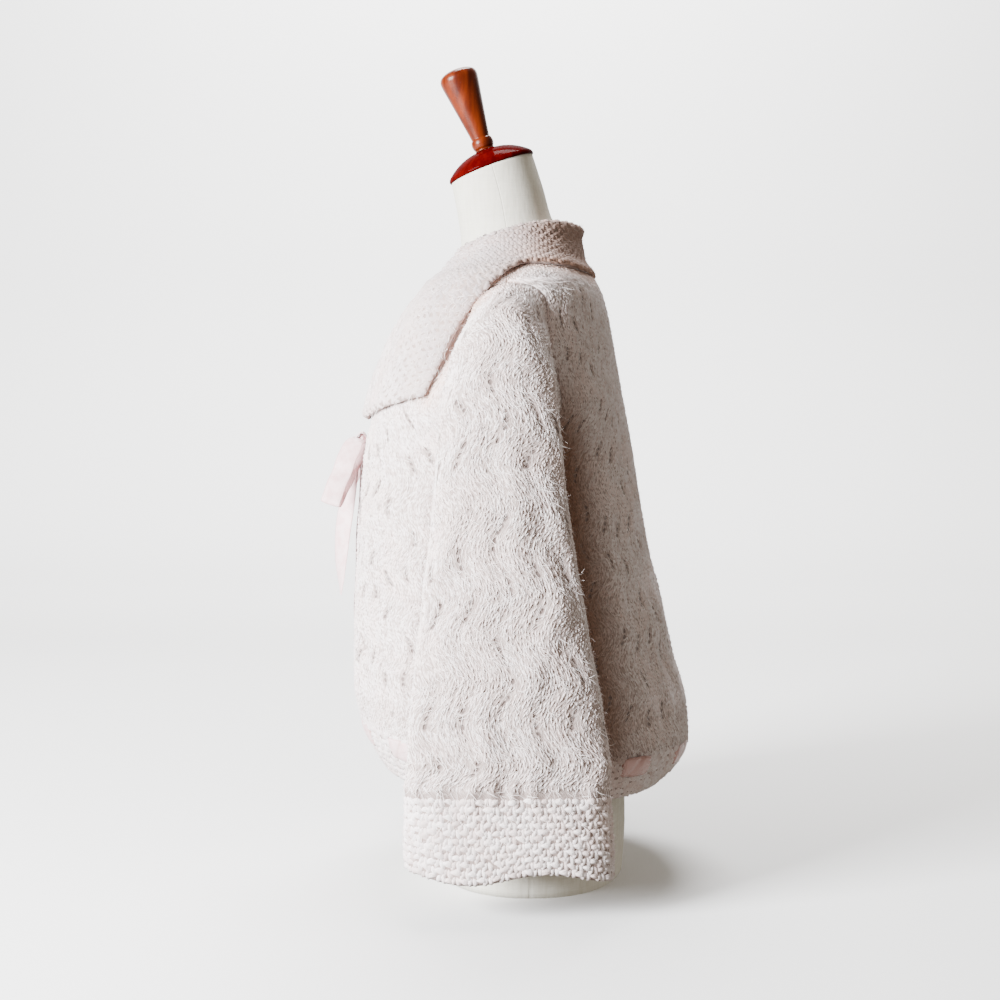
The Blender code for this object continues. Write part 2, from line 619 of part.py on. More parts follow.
def collar_line(share):
    """The middle line of the left collar's wall at one station: up the stand, over the roll, down to the edge."""
    row = collar_station(share)
    seat = COLLAR_WALL / 2 + SEAM_GAP + 0.0008 * smoothstep(140, 170, row.neck_angle)
    lie = seat + 0.0013
    path = [
        (0.00, seat),
        (-0.02, seat + row.stand * 0.55),
        (-0.02, seat + row.stand),
        (0.03, lie + row.stand + 0.0030),
        (0.11, lie + row.stand * 0.95 + 0.0020),
        (0.25, lie + row.stand * 0.65 + 0.0010),
        (0.48, lie + row.stand * 0.15 + 0.0015),
        (0.74, lie),
        (1.00, lie - 0.0006),
    ]
    along = np.array([step for step, _ in path])
    height = np.array([rise for _, rise in path])
    level = row.neck_level + (row.edge_level - row.neck_level) * along
    angle = row.neck_angle + (row.edge_angle - row.neck_angle) * along
    laid = body_surface(level, angle) + outward(body_surface, level, angle) * height[:, None]
    over_sleeve = row.lift * smoothstep(0.2, 0.9, along)
    return laid + over_sleeve[:, None] * np.array([0, -0.6, 0.8])


def collar(collection):
    """The wide folded collar, one band from the right front end round the neck to the left front end."""
    left = [collar_line(share) for share in np.linspace(0, 1, COLLAR_HALF_STEPS + 1)]
    middle = np.array([line * [-1, 1, 1] for line in left[:0:-1]] + left)
    middle[COLLAR_HALF_STEPS, :, 0] = 0
    normals = np.cross(np.gradient(middle, axis=1), np.gradient(middle, axis=0))
    normals /= np.linalg.norm(normals, axis=-1, keepdims=True)
    sections = np.concatenate(
        [middle + normals * COLLAR_WALL / 2, (middle - normals * COLLAR_WALL / 2)[:, ::-1]], axis=1
    )
    loft("collar", sections, collection, "knit")


def ribbon_sections(middle, across, thickness_way, widths):
    """Rectangular ribbon sections round each point of a middle line."""
    half_wide = across * (np.asarray(widths)[:, None] / 2)
    half_thick = thickness_way * (RIBBON_WALL / 2)
    corners = [half_wide + half_thick, -half_wide + half_thick, -half_wide - half_thick, half_wide - half_thick]
    return np.stack([middle + corner for corner in corners], axis=1)


def unit(vectors):
    """Vectors at length 1."""
    vectors = np.asarray(vectors, float)
    return vectors / np.linalg.norm(vectors, axis=-1, keepdims=True)


def hem_stretch(name, angle, collection):
    """One visible stretch of the drawn ribbon, lying on the hem band between two eyelets."""
    half_turn = math.degrees(STRETCH_LENGTH / 2 / 0.172)
    angles = angle + np.linspace(-half_turn, half_turn, 6)
    sections = []
    for place in angles:
        levels = STRETCH_LEVEL + np.linspace(-1, 1, 3) * RIBBON_WIDTH / 2 * 0.92
        seat = body_surface(levels, place)
        out = outward(body_surface, levels, place)
        under = seat + out * (SEAM_GAP + 0.0001)
        over = seat + out * (SEAM_GAP + 0.0001 + RIBBON_WALL)
        sections.append(np.vstack([over, under[::-1]]))
    loft(name, sections, collection, "ribbon")


def bow_loop(name, hand, collection):
    """One loop of the bow, a closed band of ribbon that droops from the knot."""
    reach = np.array(LOOP_REACH)
    across = unit(LOOP_WIDTH_WAY)
    lift = unit(np.cross(across, reach))
    lift = lift * np.sign(lift[0])
    middle = np.array([np.array(LOOP_START) + reach * share + lift * height for share, height in LOOP_PATH])
    tangent = unit(np.roll(middle, -1, axis=0) - np.roll(middle, 1, axis=0))
    thick = unit(np.cross(tangent, across))
    shares = np.array([share for share, _ in LOOP_PATH])
    widths = RIBBON_WIDTH * (0.45 + 0.55 * smoothstep(0.0, 0.30, shares))
    sections = ribbon_sections(middle, np.broadcast_to(across, middle.shape), thick, widths)
    loft(name, sections * [hand, 1, 1], collection, "ribbon", closed=True)


def free_tail(collection):
    """The tail that hangs free in front and twists toward its end."""
    places = np.linspace(0, len(FREE_TAIL) - 1, 25)
    known = np.arange(len(FREE_TAIL), dtype=float)
    x, y, z, turn = (through(known, column(FREE_TAIL, f), places) for f in TailPoint._fields)
    middle = np.stack([x, y, z], axis=-1)
    tangent = unit(np.gradient(middle, axis=0))
    angle = np.radians(turn)[:, None]
    flat = np.cos(angle) * np.array([1.0, 0, 0]) + np.sin(angle) * np.array([0, 1.0, 0])
    across = unit(flat - tangent * np.sum(flat * tangent, axis=-1, keepdims=True))
    widths = RIBBON_WIDTH * (0.5 + 0.5 * smoothstep(0, 3, places))
    sections = ribbon_sections(middle, across, unit(np.cross(tangent, across)), widths)
    loft("ribbon_tail_free", sections, collection, "ribbon", twisted=True)


def lying_tail(collection):
    """The tail that lies down the right front."""
    known = np.arange(len(LYING_TAIL), dtype=float)
    places = np.linspace(0, len(LYING_TAIL) - 1, 10)
    level, x, lift = (through(known, column(LYING_TAIL, f), places) for f in LyingPoint._fields)
    widths = RIBBON_WIDTH * (0.5 + 0.5 * smoothstep(0, 3, places))
    sections = []
    for row_level, row_x, row_lift, width in zip(level, x, lift, widths):
        half = width / 2
        xs = np.array([row_x + half, row_x, row_x - half])
        turns = np.linspace(180, 150, 241)
        line = body_surface(row_level, turns)
        angles = np.sign(-xs) * (180 - np.interp(np.abs(xs), line[:, 0], turns))
        seat = body_surface(row_level, 180 + angles)
        out = outward(body_surface, row_level, 180 + angles)
        under = seat + out * (SEAM_GAP + RIB_RELIEF + 0.0002 + row_lift)
        sections.append(np.vstack([under + out * RIBBON_WALL, under[::-1]]))
    loft("ribbon_tail_lying", sections, collection, "ribbon")


def knot(collection):
    """The bow's knot, a rounded block."""
    mesh = bpy.data.meshes.new("bow_knot")
    shape = bmesh.new()
    bmesh.ops.create_uvsphere(shape, u_segments=16, v_segments=10, radius=1.0)
    for vertex in shape.verts:
        vertex.co = [math.copysign(abs(c) ** 0.8, c) * size for c, size in zip(vertex.co, KNOT_SIZE)]
    shape.to_mesh(mesh)
    shape.free()
    piece = add_object("bow_knot", mesh, collection, "ribbon")
    piece.location = Vector(KNOT_CENTRE) + Vector((0, 0, -BASE_LEVEL))


def main():
    """Builds every piece into one collection."""
    clear_scene()
    collection = bpy.data.collections.new("cardigan_on_dress_form")
    bpy.context.scene.collection.children.link(collection)
    torso(collection)
    neck_block(collection)
    back_panel(collection)
    front_panel("front_left", 1, collection)
    front_panel("front_right", -1, collection)
    sleeve("sleeve_left", 1, collection)
    sleeve("sleeve_right", -1, collection)
    collar(collection)
    for number, angle in enumerate(STRETCH_ANGLES, start=1):
        hem_stretch(f"hem_ribbon_left_{number}", angle, collection)
        hem_stretch(f"hem_ribbon_right_{number}", -angle, collection)
    knot(collection)
    bow_loop("bow_loop_left", 1, collection)
    bow_loop("bow_loop_right", -1, collection)
    free_tail(collection)
    lying_tail(collection)


main()
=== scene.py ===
# %% [markdown]
# # A hand-knitted mohair cardigan on a dress form
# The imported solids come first, as a fixed frame that every piece of this scene is set on. The solids
# already hold the garment's true shape, so the work here is the surface: yarn, lace, satin, linen and
# lacquer.

import json
import math
from collections import namedtuple

import bpy
import numpy as np
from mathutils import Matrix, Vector

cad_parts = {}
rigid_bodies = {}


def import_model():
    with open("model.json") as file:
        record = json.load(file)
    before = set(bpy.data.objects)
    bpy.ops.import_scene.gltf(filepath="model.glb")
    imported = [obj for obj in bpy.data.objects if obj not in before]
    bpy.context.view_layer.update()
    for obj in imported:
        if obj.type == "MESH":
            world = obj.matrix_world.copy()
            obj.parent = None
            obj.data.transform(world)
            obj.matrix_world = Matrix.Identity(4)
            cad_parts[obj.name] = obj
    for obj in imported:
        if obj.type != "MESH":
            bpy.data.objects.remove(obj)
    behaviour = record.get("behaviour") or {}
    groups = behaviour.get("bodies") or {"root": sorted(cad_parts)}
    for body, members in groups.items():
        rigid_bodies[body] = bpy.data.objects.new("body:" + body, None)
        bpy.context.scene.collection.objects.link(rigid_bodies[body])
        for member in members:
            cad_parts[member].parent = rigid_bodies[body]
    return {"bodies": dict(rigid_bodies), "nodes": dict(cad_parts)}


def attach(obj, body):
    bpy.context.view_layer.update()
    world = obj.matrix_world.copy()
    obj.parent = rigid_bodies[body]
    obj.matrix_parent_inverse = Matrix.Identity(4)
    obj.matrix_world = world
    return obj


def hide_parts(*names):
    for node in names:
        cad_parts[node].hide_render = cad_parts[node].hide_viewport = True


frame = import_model()
own = set(frame["nodes"].values()) | set(frame["bodies"].values())
for item in [o for o in bpy.data.objects if o not in own]:
    bpy.data.objects.remove(item, do_unlink=True)
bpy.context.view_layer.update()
luck = np.random.default_rng(11)

# %% [markdown]
# ## The eye and the light
# The photograph looks straight at the wearer's left side from about the height of the chest. A camera's
# place and lens could be found by trial, but a known size in the picture gives both, in picture points. The
# light is a broad window in front of the garment, so the sleeve is nearly white and the back falls into
# shade, and a pale floor and wall give the rest.

# %% Camera
camera = bpy.data.objects.new("eye", bpy.data.cameras.new("eye"))
bpy.context.scene.collection.objects.link(camera)
camera.location = (1.85, -0.0075, 0.515)
FILM_WIDTH = 36
PICTURE_WIDTH = 1000
FOCAL_LENGTH = 1713
HORIZON_ABOVE_MIDDLE = 113
camera.rotation_euler = (math.pi / 2 - math.atan(HORIZON_ABOVE_MIDDLE / FOCAL_LENGTH), 0, math.pi / 2)
camera.data.sensor_width = FILM_WIDTH
camera.data.lens = FILM_WIDTH * FOCAL_LENGTH / PICTURE_WIDTH
bpy.context.scene.camera = camera
print("lens:", round(camera.data.lens, 2), "mm")


# %% Lights
def window(name, place, aim, size, watts, colour):
    """A square soft light at a place, turned to face another place."""
    light = bpy.data.lights.new(name, "AREA")
    light.size = size
    light.energy = watts
    light.color = colour
    lamp = bpy.data.objects.new(name, light)
    lamp.location = place
    lamp.rotation_euler = (Vector(aim) - Vector(place)).to_track_quat("-Z", "Y").to_euler()
    bpy.context.scene.collection.objects.link(lamp)


CHEST = (0.0, 0.0, 0.42)
window("front_window", (1.55, -2.0, 1.0), CHEST, 1.1, 470, (0.97, 0.985, 1.0))
window("wall_wash", (-1.2, 0.0, 2.9), (-2.75, 0.0, 0.6), 1.4, 260, (1.0, 1.0, 1.0))
world = bpy.data.worlds.new("room")
bpy.context.scene.world = world
world.use_nodes = True
world.node_tree.nodes["Background"].inputs["Color"].default_value = (1.0, 0.91, 0.79, 1)
world.node_tree.nodes["Background"].inputs["Strength"].default_value = 0.40

# %% [markdown]
# ## Shader sums in plain Python
# A material's pattern is a sum on numbers that change over the surface. Blender writes each step as a node,
# which soon makes a long list, so one small class wraps a socket and lets Python's own signs add the Math
# nodes.


# %% Wires and finishes
class Wire:
    """A shader socket that can be added, multiplied and compared. Each sign adds one Math node."""

    def __init__(self, finish, socket):
        self.finish = finish
        self.socket = socket

    def sum(self, operation, *values):
        """One Math node on these values."""
        return self.finish.node("ShaderNodeMath", {"operation": operation}, dict(enumerate(values)))

    def __add__(self, other):
        return self.sum("ADD", self, other)

    __radd__ = __add__

    def __sub__(self, other):
        return self.sum("SUBTRACT", self, other)

    def __rsub__(self, other):
        return self.sum("SUBTRACT", other, self)

    def __mul__(self, other):
        return self.sum("MULTIPLY", self, other)

    __rmul__ = __mul__

    def __truediv__(self, other):
        return self.sum("DIVIDE", self, other)

    def __rtruediv__(self, other):
        return self.sum("DIVIDE", other, self)

    def __abs__(self):
        return self.sum("ABSOLUTE", self)

    def nearest(self):
        """The nearest whole number."""
        return self.sum("FLOOR", self + 0.5)

    def wave(self):
        """The sine of the value in radians."""
        return self.sum("SINE", self)

    def step(self, low, high):
        """0 below low, 1 above high, and an S curve between them. With low above high it falls instead."""
        rising = low < high
        ends = {1: min(low, high), 2: max(low, high), 3: 0.0 if rising else 1.0, 4: 1.0 if rising else 0.0}
        settings = {"interpolation_type": "SMOOTHSTEP"}
        return self.finish.node("ShaderNodeMapRange", settings, {0: self, **ends})


class Finish:
    """One material under construction, with its one surface shader."""

    def __init__(self, name, **fixed):
        self.material = bpy.data.materials.new(name)
        self.material.use_nodes = True
        self.tree = self.material.node_tree
        self.shader = self.tree.nodes["Principled BSDF"]
        for socket, value in fixed.items():
            self.shader.inputs[socket.replace("_", " ").title().replace("Ior", "IOR")].default_value = value

    def feed(self, socket, value):
        """Links a wire to a socket, or sets the socket's own value."""
        if isinstance(value, Wire):
            self.tree.links.new(value.socket, socket)
        else:
            socket.default_value = value

    def node(self, kind, settings, values, out=0):
        """Any node: its settings first, then what goes into its sockets."""
        made = self.tree.nodes.new(kind)
        for name, value in settings.items():
            setattr(made, name, value)
        for key, value in values.items():
            self.feed(made.inputs[key], value)
        return Wire(self, made.outputs[out])

    def mix(self, share, low, high):
        """A colour between two colours."""
        low, high = (tint if isinstance(tint, Wire) else (*tint, 1) for tint in (low, high))
        return self.node("ShaderNodeMix", {"data_type": "RGBA"}, {0: share, 6: low, 7: high}, out=2)

    def noise(self, place, scale, detail=2.0):
        """Soft random grain, from 0 to 1, at so many grains to a unit of place."""
        return self.node("ShaderNodeTexNoise", {}, {"Vector": place, "Scale": scale, "Detail": detail})

    def place(self):
        """The point on the object, in metres."""
        return self.node("ShaderNodeTexCoord", {}, {}, out=3)

    def stretched(self, vector, scale, turn=(0, 0, 0)):
        """Coordinates multiplied by a scale on each axis, after a turn."""
        return self.node("ShaderNodeMapping", {}, {"Vector": vector, "Scale": scale, "Rotation": turn})

    def stitches(self):
        """The piece's own pattern coordinates: across its ribs, and along them."""
        return self.node("ShaderNodeUVMap", {"uv_map": "stitches"}, {})

    def parts(self, vector):
        """The first two numbers of a vector."""
        split = self.node("ShaderNodeSeparateXYZ", {}, {0: vector})
        return split, Wire(self, split.socket.node.outputs[1])

    def told(self, name):
        """A number that the mesh carries at each of its points."""
        return self.node("ShaderNodeAttribute", {"attribute_name": name}, {}, out=2)

    def finished(self, colour, bump=None, depth=0.0, roughness=None):
        """Feeds the shader and gives back the material."""
        self.feed(self.shader.inputs["Base Color"], colour)
        if roughness is not None:
            self.feed(self.shader.inputs["Roughness"], roughness)
        if bump is not None:
            relief = self.node("ShaderNodeBump", {}, {"Distance": depth, "Height": bump})
            self.feed(self.shader.inputs["Normal"], relief)
        return self.material


# %% [markdown]
# ## Mohair
# Mohair is a smooth core with long loose hairs brushed out of it. On the real piece the strands look like
# pale combed strokes with greyer gaps between them, and small holes show dark where the lace turns. One
# finish could draw all of that on a plain wall, but then nothing would stand up at the edges. So there are
# three finishes: the ground that shows in the gaps, painted greyer as the shade between the strands and with
# its lace holes painted dark as shade, the strands of yarn that are laid on it stitch by stitch, and the loose
# hairs. Ground, strands and hairs also carry painted shade, and ground and strands painted peach light.

# %% Mohair ground
LACE_STEP = 1.25
HOLE_STEP = 0.20
HOLE_HALF_WIDTH = 0.070
HOLE_HALF_HEIGHT = 0.36
HOLE_SLANT = 0.12


def ground_finish():
    """The cloth behind the strands: greyer pink as painted shade between the strands, with fine grain, lace holes
    painted dark as shade, painted peach light and painted brown shade.
    """
    wool = Finish("mohair_ground", roughness=0.95, sheen_weight=0.25, sheen_roughness=0.5)
    wool.shader.inputs["Specular IOR Level"].default_value = 0.1
    where = wool.place()
    pattern = wool.stitches()
    across, along = wool.parts(pattern)
    streak = wool.noise(wool.stretched(pattern, (30.0, 5.0, 1.0)), 1.0, 4.0)
    grain = wool.noise(where, 420.0, 3.0)
    # The ground's greyer pink is painted shade in the gaps between the strands.
    colour = wool.mix(streak.step(0.35, 0.65), (0.35, 0.27, 0.25), (0.57, 0.475, 0.445))
    column = across.nearest()
    height = along / LACE_STEP + (column * 2.4).wave() * 0.5
    group = height.nearest()
    up = (height - group) * LACE_STEP
    slant = up * ((group * math.pi + column * 1.3).wave() * HOLE_SLANT)
    hole = up / HOLE_STEP
    wide = (across - column - slant) / HOLE_HALF_WIDTH
    tall = (hole - hole.nearest()) / HOLE_HALF_HEIGHT
    ring = (wide * wide + tall * tall + (grain - 0.5) * 1.4).step(1.35, 0.2)
    lace = ring * abs(up).step(0.29, 0.24) * wool.told("lace")
    lace = lace * (column * 3.7 + group * 2.3).wave().step(-0.5, -0.4)
    # Painted shade in the moss pits, painted peach light by the collar's edge, painted brown shade beside the sleeves
    # and under the collar's edge, and the lace holes painted dark as shade.
    colour = wool.mix(wool.told("pit"), colour, (0.30, 0.225, 0.205))
    colour = wool.mix(wool.told("glow"), colour, (0.74, 0.50, 0.42))
    colour = wool.mix(wool.told("shade"), colour, (0.20, 0.105, 0.065))
    colour = wool.mix(lace * 0.8, colour, (0.15, 0.105, 0.095))
    return wool.finished(colour, streak + grain * 0.4 - lace * 1.5, 0.0010)


GROUND = ground_finish()


# %% Mohair strands and loose hairs
def yarn_finish():
    """One strand: warm white to blush from stitch to stitch, with the fine combed streaks of its fibres, and the
    painted shade and painted peach light of the cloth under it.
    """
    yarn = Finish("mohair_yarn", roughness=0.85, sheen_weight=0.15, sheen_roughness=0.4)
    yarn.shader.inputs["Specular IOR Level"].default_value = 0.15
    tone = yarn.told("tone")
    wisps = yarn.noise(yarn.stretched(yarn.stitches(), (7.0, 1.4, 1.0)), 1.0, 3.0)
    blotch = yarn.noise(yarn.place(), 24.0, 2.0).step(0.46, 0.62)
    grain = yarn.noise(yarn.place(), 900.0, 2.0)
    colour = yarn.mix(tone, (0.97, 0.895, 0.89), (0.63, 0.505, 0.48))
    colour = yarn.mix(blotch * 0.5, colour, (0.92, 0.745, 0.70))
    colour = yarn.mix(wisps.step(0.55, 0.35) * 0.5, colour, (0.60, 0.50, 0.48))
    # Painted shade: dim paints the yarn greyer on the collar and a little darker on the hem band and cuffs; glow is
    # painted peach light by the collar's edge and a wavy peach tone on the collar; shade is painted brown shade beside
    # the sleeves and under the collar.
    colour = yarn.mix(yarn.told("dim"), colour, (0.38, 0.325, 0.325))
    colour = yarn.mix(yarn.told("glow") * 0.8, colour, (0.84, 0.56, 0.46))
    colour = yarn.mix(yarn.told("shade"), colour, (0.27, 0.128, 0.070))
    return yarn.finished(colour, wisps + grain * 0.5, 0.0007)


def hair_finish():
    """Single brushed hairs, each one a little paler or pinker than the next, and darker with the painted shade of the
    cloth they rise from.
    """
    hair = Finish("mohair_hairs", roughness=0.75, sheen_weight=0.3, sheen_roughness=0.4)
    hair.shader.inputs["Specular IOR Level"].default_value = 0.2
    colour = hair.mix(hair.told("tone"), (0.95, 0.885, 0.87), (0.81, 0.70, 0.67))
    return hair.finished(hair.mix(hair.told("shade"), colour, (0.28, 0.145, 0.09)))


YARN = yarn_finish()
HAIR = hair_finish()
print("mohair nodes:", [len(m.node_tree.nodes) for m in (GROUND, YARN, HAIR)])

# %% [markdown]
# ## Curves through tables
# The garment's size at each height is a short table. A straight line between the rows would leave dents,
# and an ordinary smooth curve would swing past them, so this curve is smooth and never leaves the span of
# its neighbours.


# %% Curves
def through(known, values, wanted):
    """A smooth curve through (known, values), read at wanted. Between two rows it is the cubic whose slopes
    are the harmonic means of the slopes on each side, and 0 at a turning point."""
    known, values, wanted = (np.asarray(a, float) for a in (known, values, wanted))
    tail = (1,) * (values.ndim - 1)
    steps = np.diff(known)
    rates = np.diff(values, axis=0) / steps.reshape(-1, *tail)
    slopes = np.zeros_like(values)
    product = rates[:-1] * rates[1:]
    same_way = product > 0
    slopes[1:-1] = np.where(same_way, 2 * product / np.where(same_way, rates[:-1] + rates[1:], 1), 0)
    slopes[0], slopes[-1] = rates[0], rates[-1]
    wanted = np.clip(wanted, known[0], known[-1])
    cell = np.clip(np.searchsorted(known, wanted, side="right") - 1, 0, len(known) - 2)
    step = steps[cell].reshape(cell.shape + tail)
    t = ((wanted - known[cell]) / steps[cell]).reshape(cell.shape + tail)
    rise = slopes[cell] * (1 - t) ** 2 * t - slopes[cell + 1] * (1 - t) * t * t
    return values[cell] * (1 + 2 * t) * (1 - t) ** 2 + values[cell + 1] * t * t * (3 - 2 * t) + step * rise


def soft_step(low, high, value):
    """0 below low, 1 above high, and the S curve 3t^2 - 2t^3 between them."""
    t = np.clip((value - low) / (high - low), 0, 1)
    return t * t * (3 - 2 * t)


def bell(value, width):
    """The bell curve exp(-(value / width)^2)."""
    return np.exp(-((value / width) ** 2))


def unit(vectors):
    """Vectors at length 1."""
    vectors = np.asarray(vectors, float)
    return vectors / np.linalg.norm(vectors, axis=-1, keepdims=True)


def run_of(points):
    """The length of a line of points up to each of them. For a grid it is the mean over its lines."""
    steps = np.linalg.norm(np.diff(points, axis=0), axis=-1)
    if steps.ndim > 1:
        steps = steps.mean(axis=1)
    return np.concatenate([[0], np.cumsum(steps)])


def spaced(points, shares):
    """Points along a polyline at these shares of its length."""
    along = run_of(points)
    wanted = np.clip(shares, 0, 1) * along[-1]
    return np.stack([np.interp(wanted, along, points[:, axis]) for axis in range(3)], axis=-1)


def grid_area(points):
    """The area of a grid of points, as half the cross product of each cell's diagonals."""
    one = points[1:, 1:] - points[:-1, :-1]
    other = points[1:, :-1] - points[:-1, 1:]
    return float(np.linalg.norm(np.cross(one, other), axis=-1).sum() / 2)


# %% [markdown]
# ## The dress form
# A dress form is padded card under stretched linen, cut off below the hip and above the neck. The same
# table that shaped its solid is read here at many more heights and angles. It is a superellipse at each
# height: a circle whose power is raised above 2, so that it is a little squarer.

# %% The form's table
LIFT = 0.010
NECKLINE, HEM, RIBBON_LEVEL, UNDERARM = 0.650, 0.088, 0.136, 0.440
ARMHOLE_X, CLOSURE = 0.150, 0.458
SEAM_GAP, KNIT_WALL, COLLAR_WALL, RIB_RELIEF, RIB_SWAY = 0.0003, 0.004, 0.0045, 0.0026, 0.22
# columns: level, half width, front, back, side, slope, power
FORM = np.array([
    (-0.010, 0.152, -0.077, 0.125, 0.023, 0.00, 2.25), (0.040, 0.158, -0.081, 0.128, 0.023, 0.00, 2.25),
    (0.090, 0.160, -0.082, 0.127, 0.022, 0.00, 2.25), (0.150, 0.152, -0.080, 0.117, 0.020, 0.00, 2.25),
    (0.220, 0.130, -0.073, 0.098, 0.015, 0.00, 2.25), (0.285, 0.115, -0.068, 0.084, 0.010, 0.00, 2.2),
    (0.340, 0.119, -0.075, 0.086, 0.008, 0.00, 2.2), (0.400, 0.131, -0.095, 0.093, 0.006, 0.00, 2.2),
    (0.450, 0.139, -0.117, 0.099, 0.004, 0.00, 2.2), (0.490, 0.144, -0.125, 0.102, 0.002, 0.00, 2.2),
    (0.530, 0.145, -0.115, 0.103, 0.001, 0.00, 2.25), (0.565, 0.147, -0.096, 0.098, 0.000, 0.02, 2.3),
    (0.588, 0.147, -0.080, 0.091, 0.000, 0.05, 2.3), (0.604, 0.140, -0.070, 0.084, 0.000, 0.09, 2.2),
    (0.618, 0.121, -0.063, 0.076, 0.000, 0.14, 2.1), (0.632, 0.094, -0.056, 0.068, 0.001, 0.20, 2.0),
    (0.644, 0.072, -0.052, 0.060, 0.002, 0.25, 2.0), (0.656, 0.057, -0.050, 0.055, 0.001, 0.29, 2.0),
    (0.672, 0.050, -0.049, 0.047, -0.001, 0.32, 2.0), (0.700, 0.047, -0.052, 0.039, -0.006, 0.35, 2.0),
    (0.737, 0.046, -0.059, 0.027, -0.016, 0.37, 2.0),
])


def ring_point(half_width, front, back, side, power, angle):
    """(x, y) on a superellipse: x = w sin^(2/p) and y = s + r cos^(2/p). r is its own to the front and the
    back."""
    turn = np.radians(angle)
    x = half_width * np.sign(np.sin(turn)) * np.abs(np.sin(turn)) ** (2 / power)
    reach = np.abs(np.cos(turn)) ** (2 / power)
    return x, np.where(np.cos(turn) > 0, side + (back - side) * reach, side - (side - front) * reach)


def form_surface(level, angle):
    """A point on the form: the ring at this level, tipped forward by its slope."""
    level, angle = np.broadcast_arrays(np.asarray(level, float), np.asarray(angle, float))
    wide, front, back, side, slope, power = (through(FORM[:, 0], FORM[:, c], level) for c in range(1, 7))
    x, y = ring_point(wide, front, back, side, power, angle)
    return np.stack([x, y, level + slope * (y - side)], axis=-1)


def outward(surface, level, angle):
    """The unit normal: the cross product of a small step up and a small turn."""
    rise = surface(level + 0.0005, angle) - surface(level - 0.0005, angle)
    turn = surface(level, angle + 0.5) - surface(level, angle - 0.5)
    return unit(np.cross(rise, turn))


# %% A mesh from arrays
def put_mesh(name, points, groups, finish, stitches=None, marks=None):
    """One object from an array of points and arrays of three- and four-cornered faces, turned outward if its
    volume comes out negative. stitches gives each corner's pattern place, and marks a number at each
    point."""
    points = np.asarray(points, float) + np.array([0, 0, LIFT])
    groups = [np.asarray(g, np.int64) for g in groups]
    thirds = [g[:, (0, k, k + 1)] for g in groups for k in range(1, g.shape[1] - 1)]
    a, b, c = (points[np.concatenate(thirds)[:, k]] for k in range(3))
    turned_in = float(np.einsum("ij,ij->i", a, np.cross(b, c)).sum()) < 0
    if turned_in and stitches is not None:
        stitches = [s[:, ::-1] for s in stitches]
    if turned_in:
        groups = [g[:, ::-1] for g in groups]
    corners = np.concatenate([g.ravel() for g in groups])
    sizes = np.concatenate([np.full(len(g), g.shape[1]) for g in groups])
    mesh = bpy.data.meshes.new(name)
    mesh.vertices.add(len(points))
    mesh.vertices.foreach_set("co", points.astype(np.float32).ravel())
    mesh.loops.add(len(corners))
    mesh.loops.foreach_set("vertex_index", corners.astype(np.int32))
    mesh.polygons.add(len(sizes))
    mesh.polygons.foreach_set("loop_start", (np.cumsum(sizes) - sizes).astype(np.int32))
    mesh.polygons.foreach_set("use_smooth", np.ones(len(sizes), bool))
    if stitches is not None:
        places = np.concatenate([s.reshape(-1, 2) for s in stitches])
        mesh.uv_layers.new(name="stitches").data.foreach_set("uv", places.astype(np.float32).ravel())
    for mark, values in (marks or {}).items():
        numbers = mesh.attributes.new(mark, "FLOAT", "POINT").data
        numbers.foreach_set("value", np.asarray(values, np.float32).ravel())
    mesh.update()
    mesh.materials.append(finish)
    piece = bpy.data.objects.new(name, mesh)
    bpy.context.scene.collection.objects.link(piece)
    triangles = int((sizes - 2).sum())
    print(f"{name}: {triangles} triangles")
    return piece


def cells(index):
    """The four-cornered faces of a grid of point numbers."""
    return np.stack([index[:-1, :-1], index[:-1, 1:], index[1:, 1:], index[1:, :-1]], axis=-1).reshape(-1, 4)


def tube_faces(rows, lines):
    """The faces of a tube of rows x lines points, and of a fan at each end to one of two more points."""
    index = np.arange(rows * lines).reshape(rows, lines)
    index = np.hstack([index, index[:, :1]])
    first = np.stack([index[0, 1:], index[0, :-1], np.full(lines, rows * lines)], axis=-1)
    last = np.stack([index[-1, :-1], index[-1, 1:], np.full(lines, rows * lines + 1)], axis=-1)
    return [cells(index), first, last]


# %% [markdown]
# ## Linen
# Plain linen is a weave of thick and thin threads. The weave is far finer than a modelled form can carry,
# so it is two crossed waves in the finish, disturbed a little so that no thread is even. The seams that
# join the form's panels are drawn the same way, as narrow grooves with a puckered edge.


# %% Linen finish and form
def linen_finish():
    """Cream linen: two crossed thread waves, slubs, and four seams with a faint pucker beside them."""
    linen = Finish("linen_canvas", roughness=0.88, sheen_weight=0.12, sheen_roughness=0.5)
    linen.shader.inputs["Specular IOR Level"].default_value = 0.25
    where = linen.place()
    turn, level = linen.parts(linen.stitches())
    slub = linen.noise(linen.stretched(where, (260.0, 260.0, 26.0)), 1.0, 3.0)
    weft = linen.noise(linen.stretched(where, (30.0, 30.0, 900.0)), 1.0, 2.0)
    soil = linen.noise(where, 9.0, 4.0)
    groove = abs(turn * 4 - (turn * 4).nearest()).step(0.012, 0.003)
    pucker = abs(turn * 4 - (turn * 4).nearest()).step(0.10, 0.02) * (level * 900).wave()
    colour = linen.mix(slub.step(0.35, 0.7), (0.80, 0.775, 0.69), (0.70, 0.67, 0.575))
    colour = linen.mix(weft.step(0.6, 0.35) * 0.35, colour, (0.62, 0.60, 0.52))
    colour = linen.mix(soil.step(0.5, 0.75) * 0.35, colour, (0.66, 0.62, 0.52))
    # Darker and yellower from the chest up to the neck. The cream is partly the linen's own colour and partly painted
    # shade; the paler lower form is painted light where it stands in shade.
    colour = linen.mix(level.step(0.50, 0.62) * 0.45, colour, (0.50, 0.475, 0.40))
    colour = linen.mix(groove * 0.08, colour, (0.42, 0.40, 0.33))
    return linen.finished(colour, slub * 0.4 + weft * 0.5 - groove * 0.4 + pucker * 0.10, 0.0006)


LINEN = linen_finish()


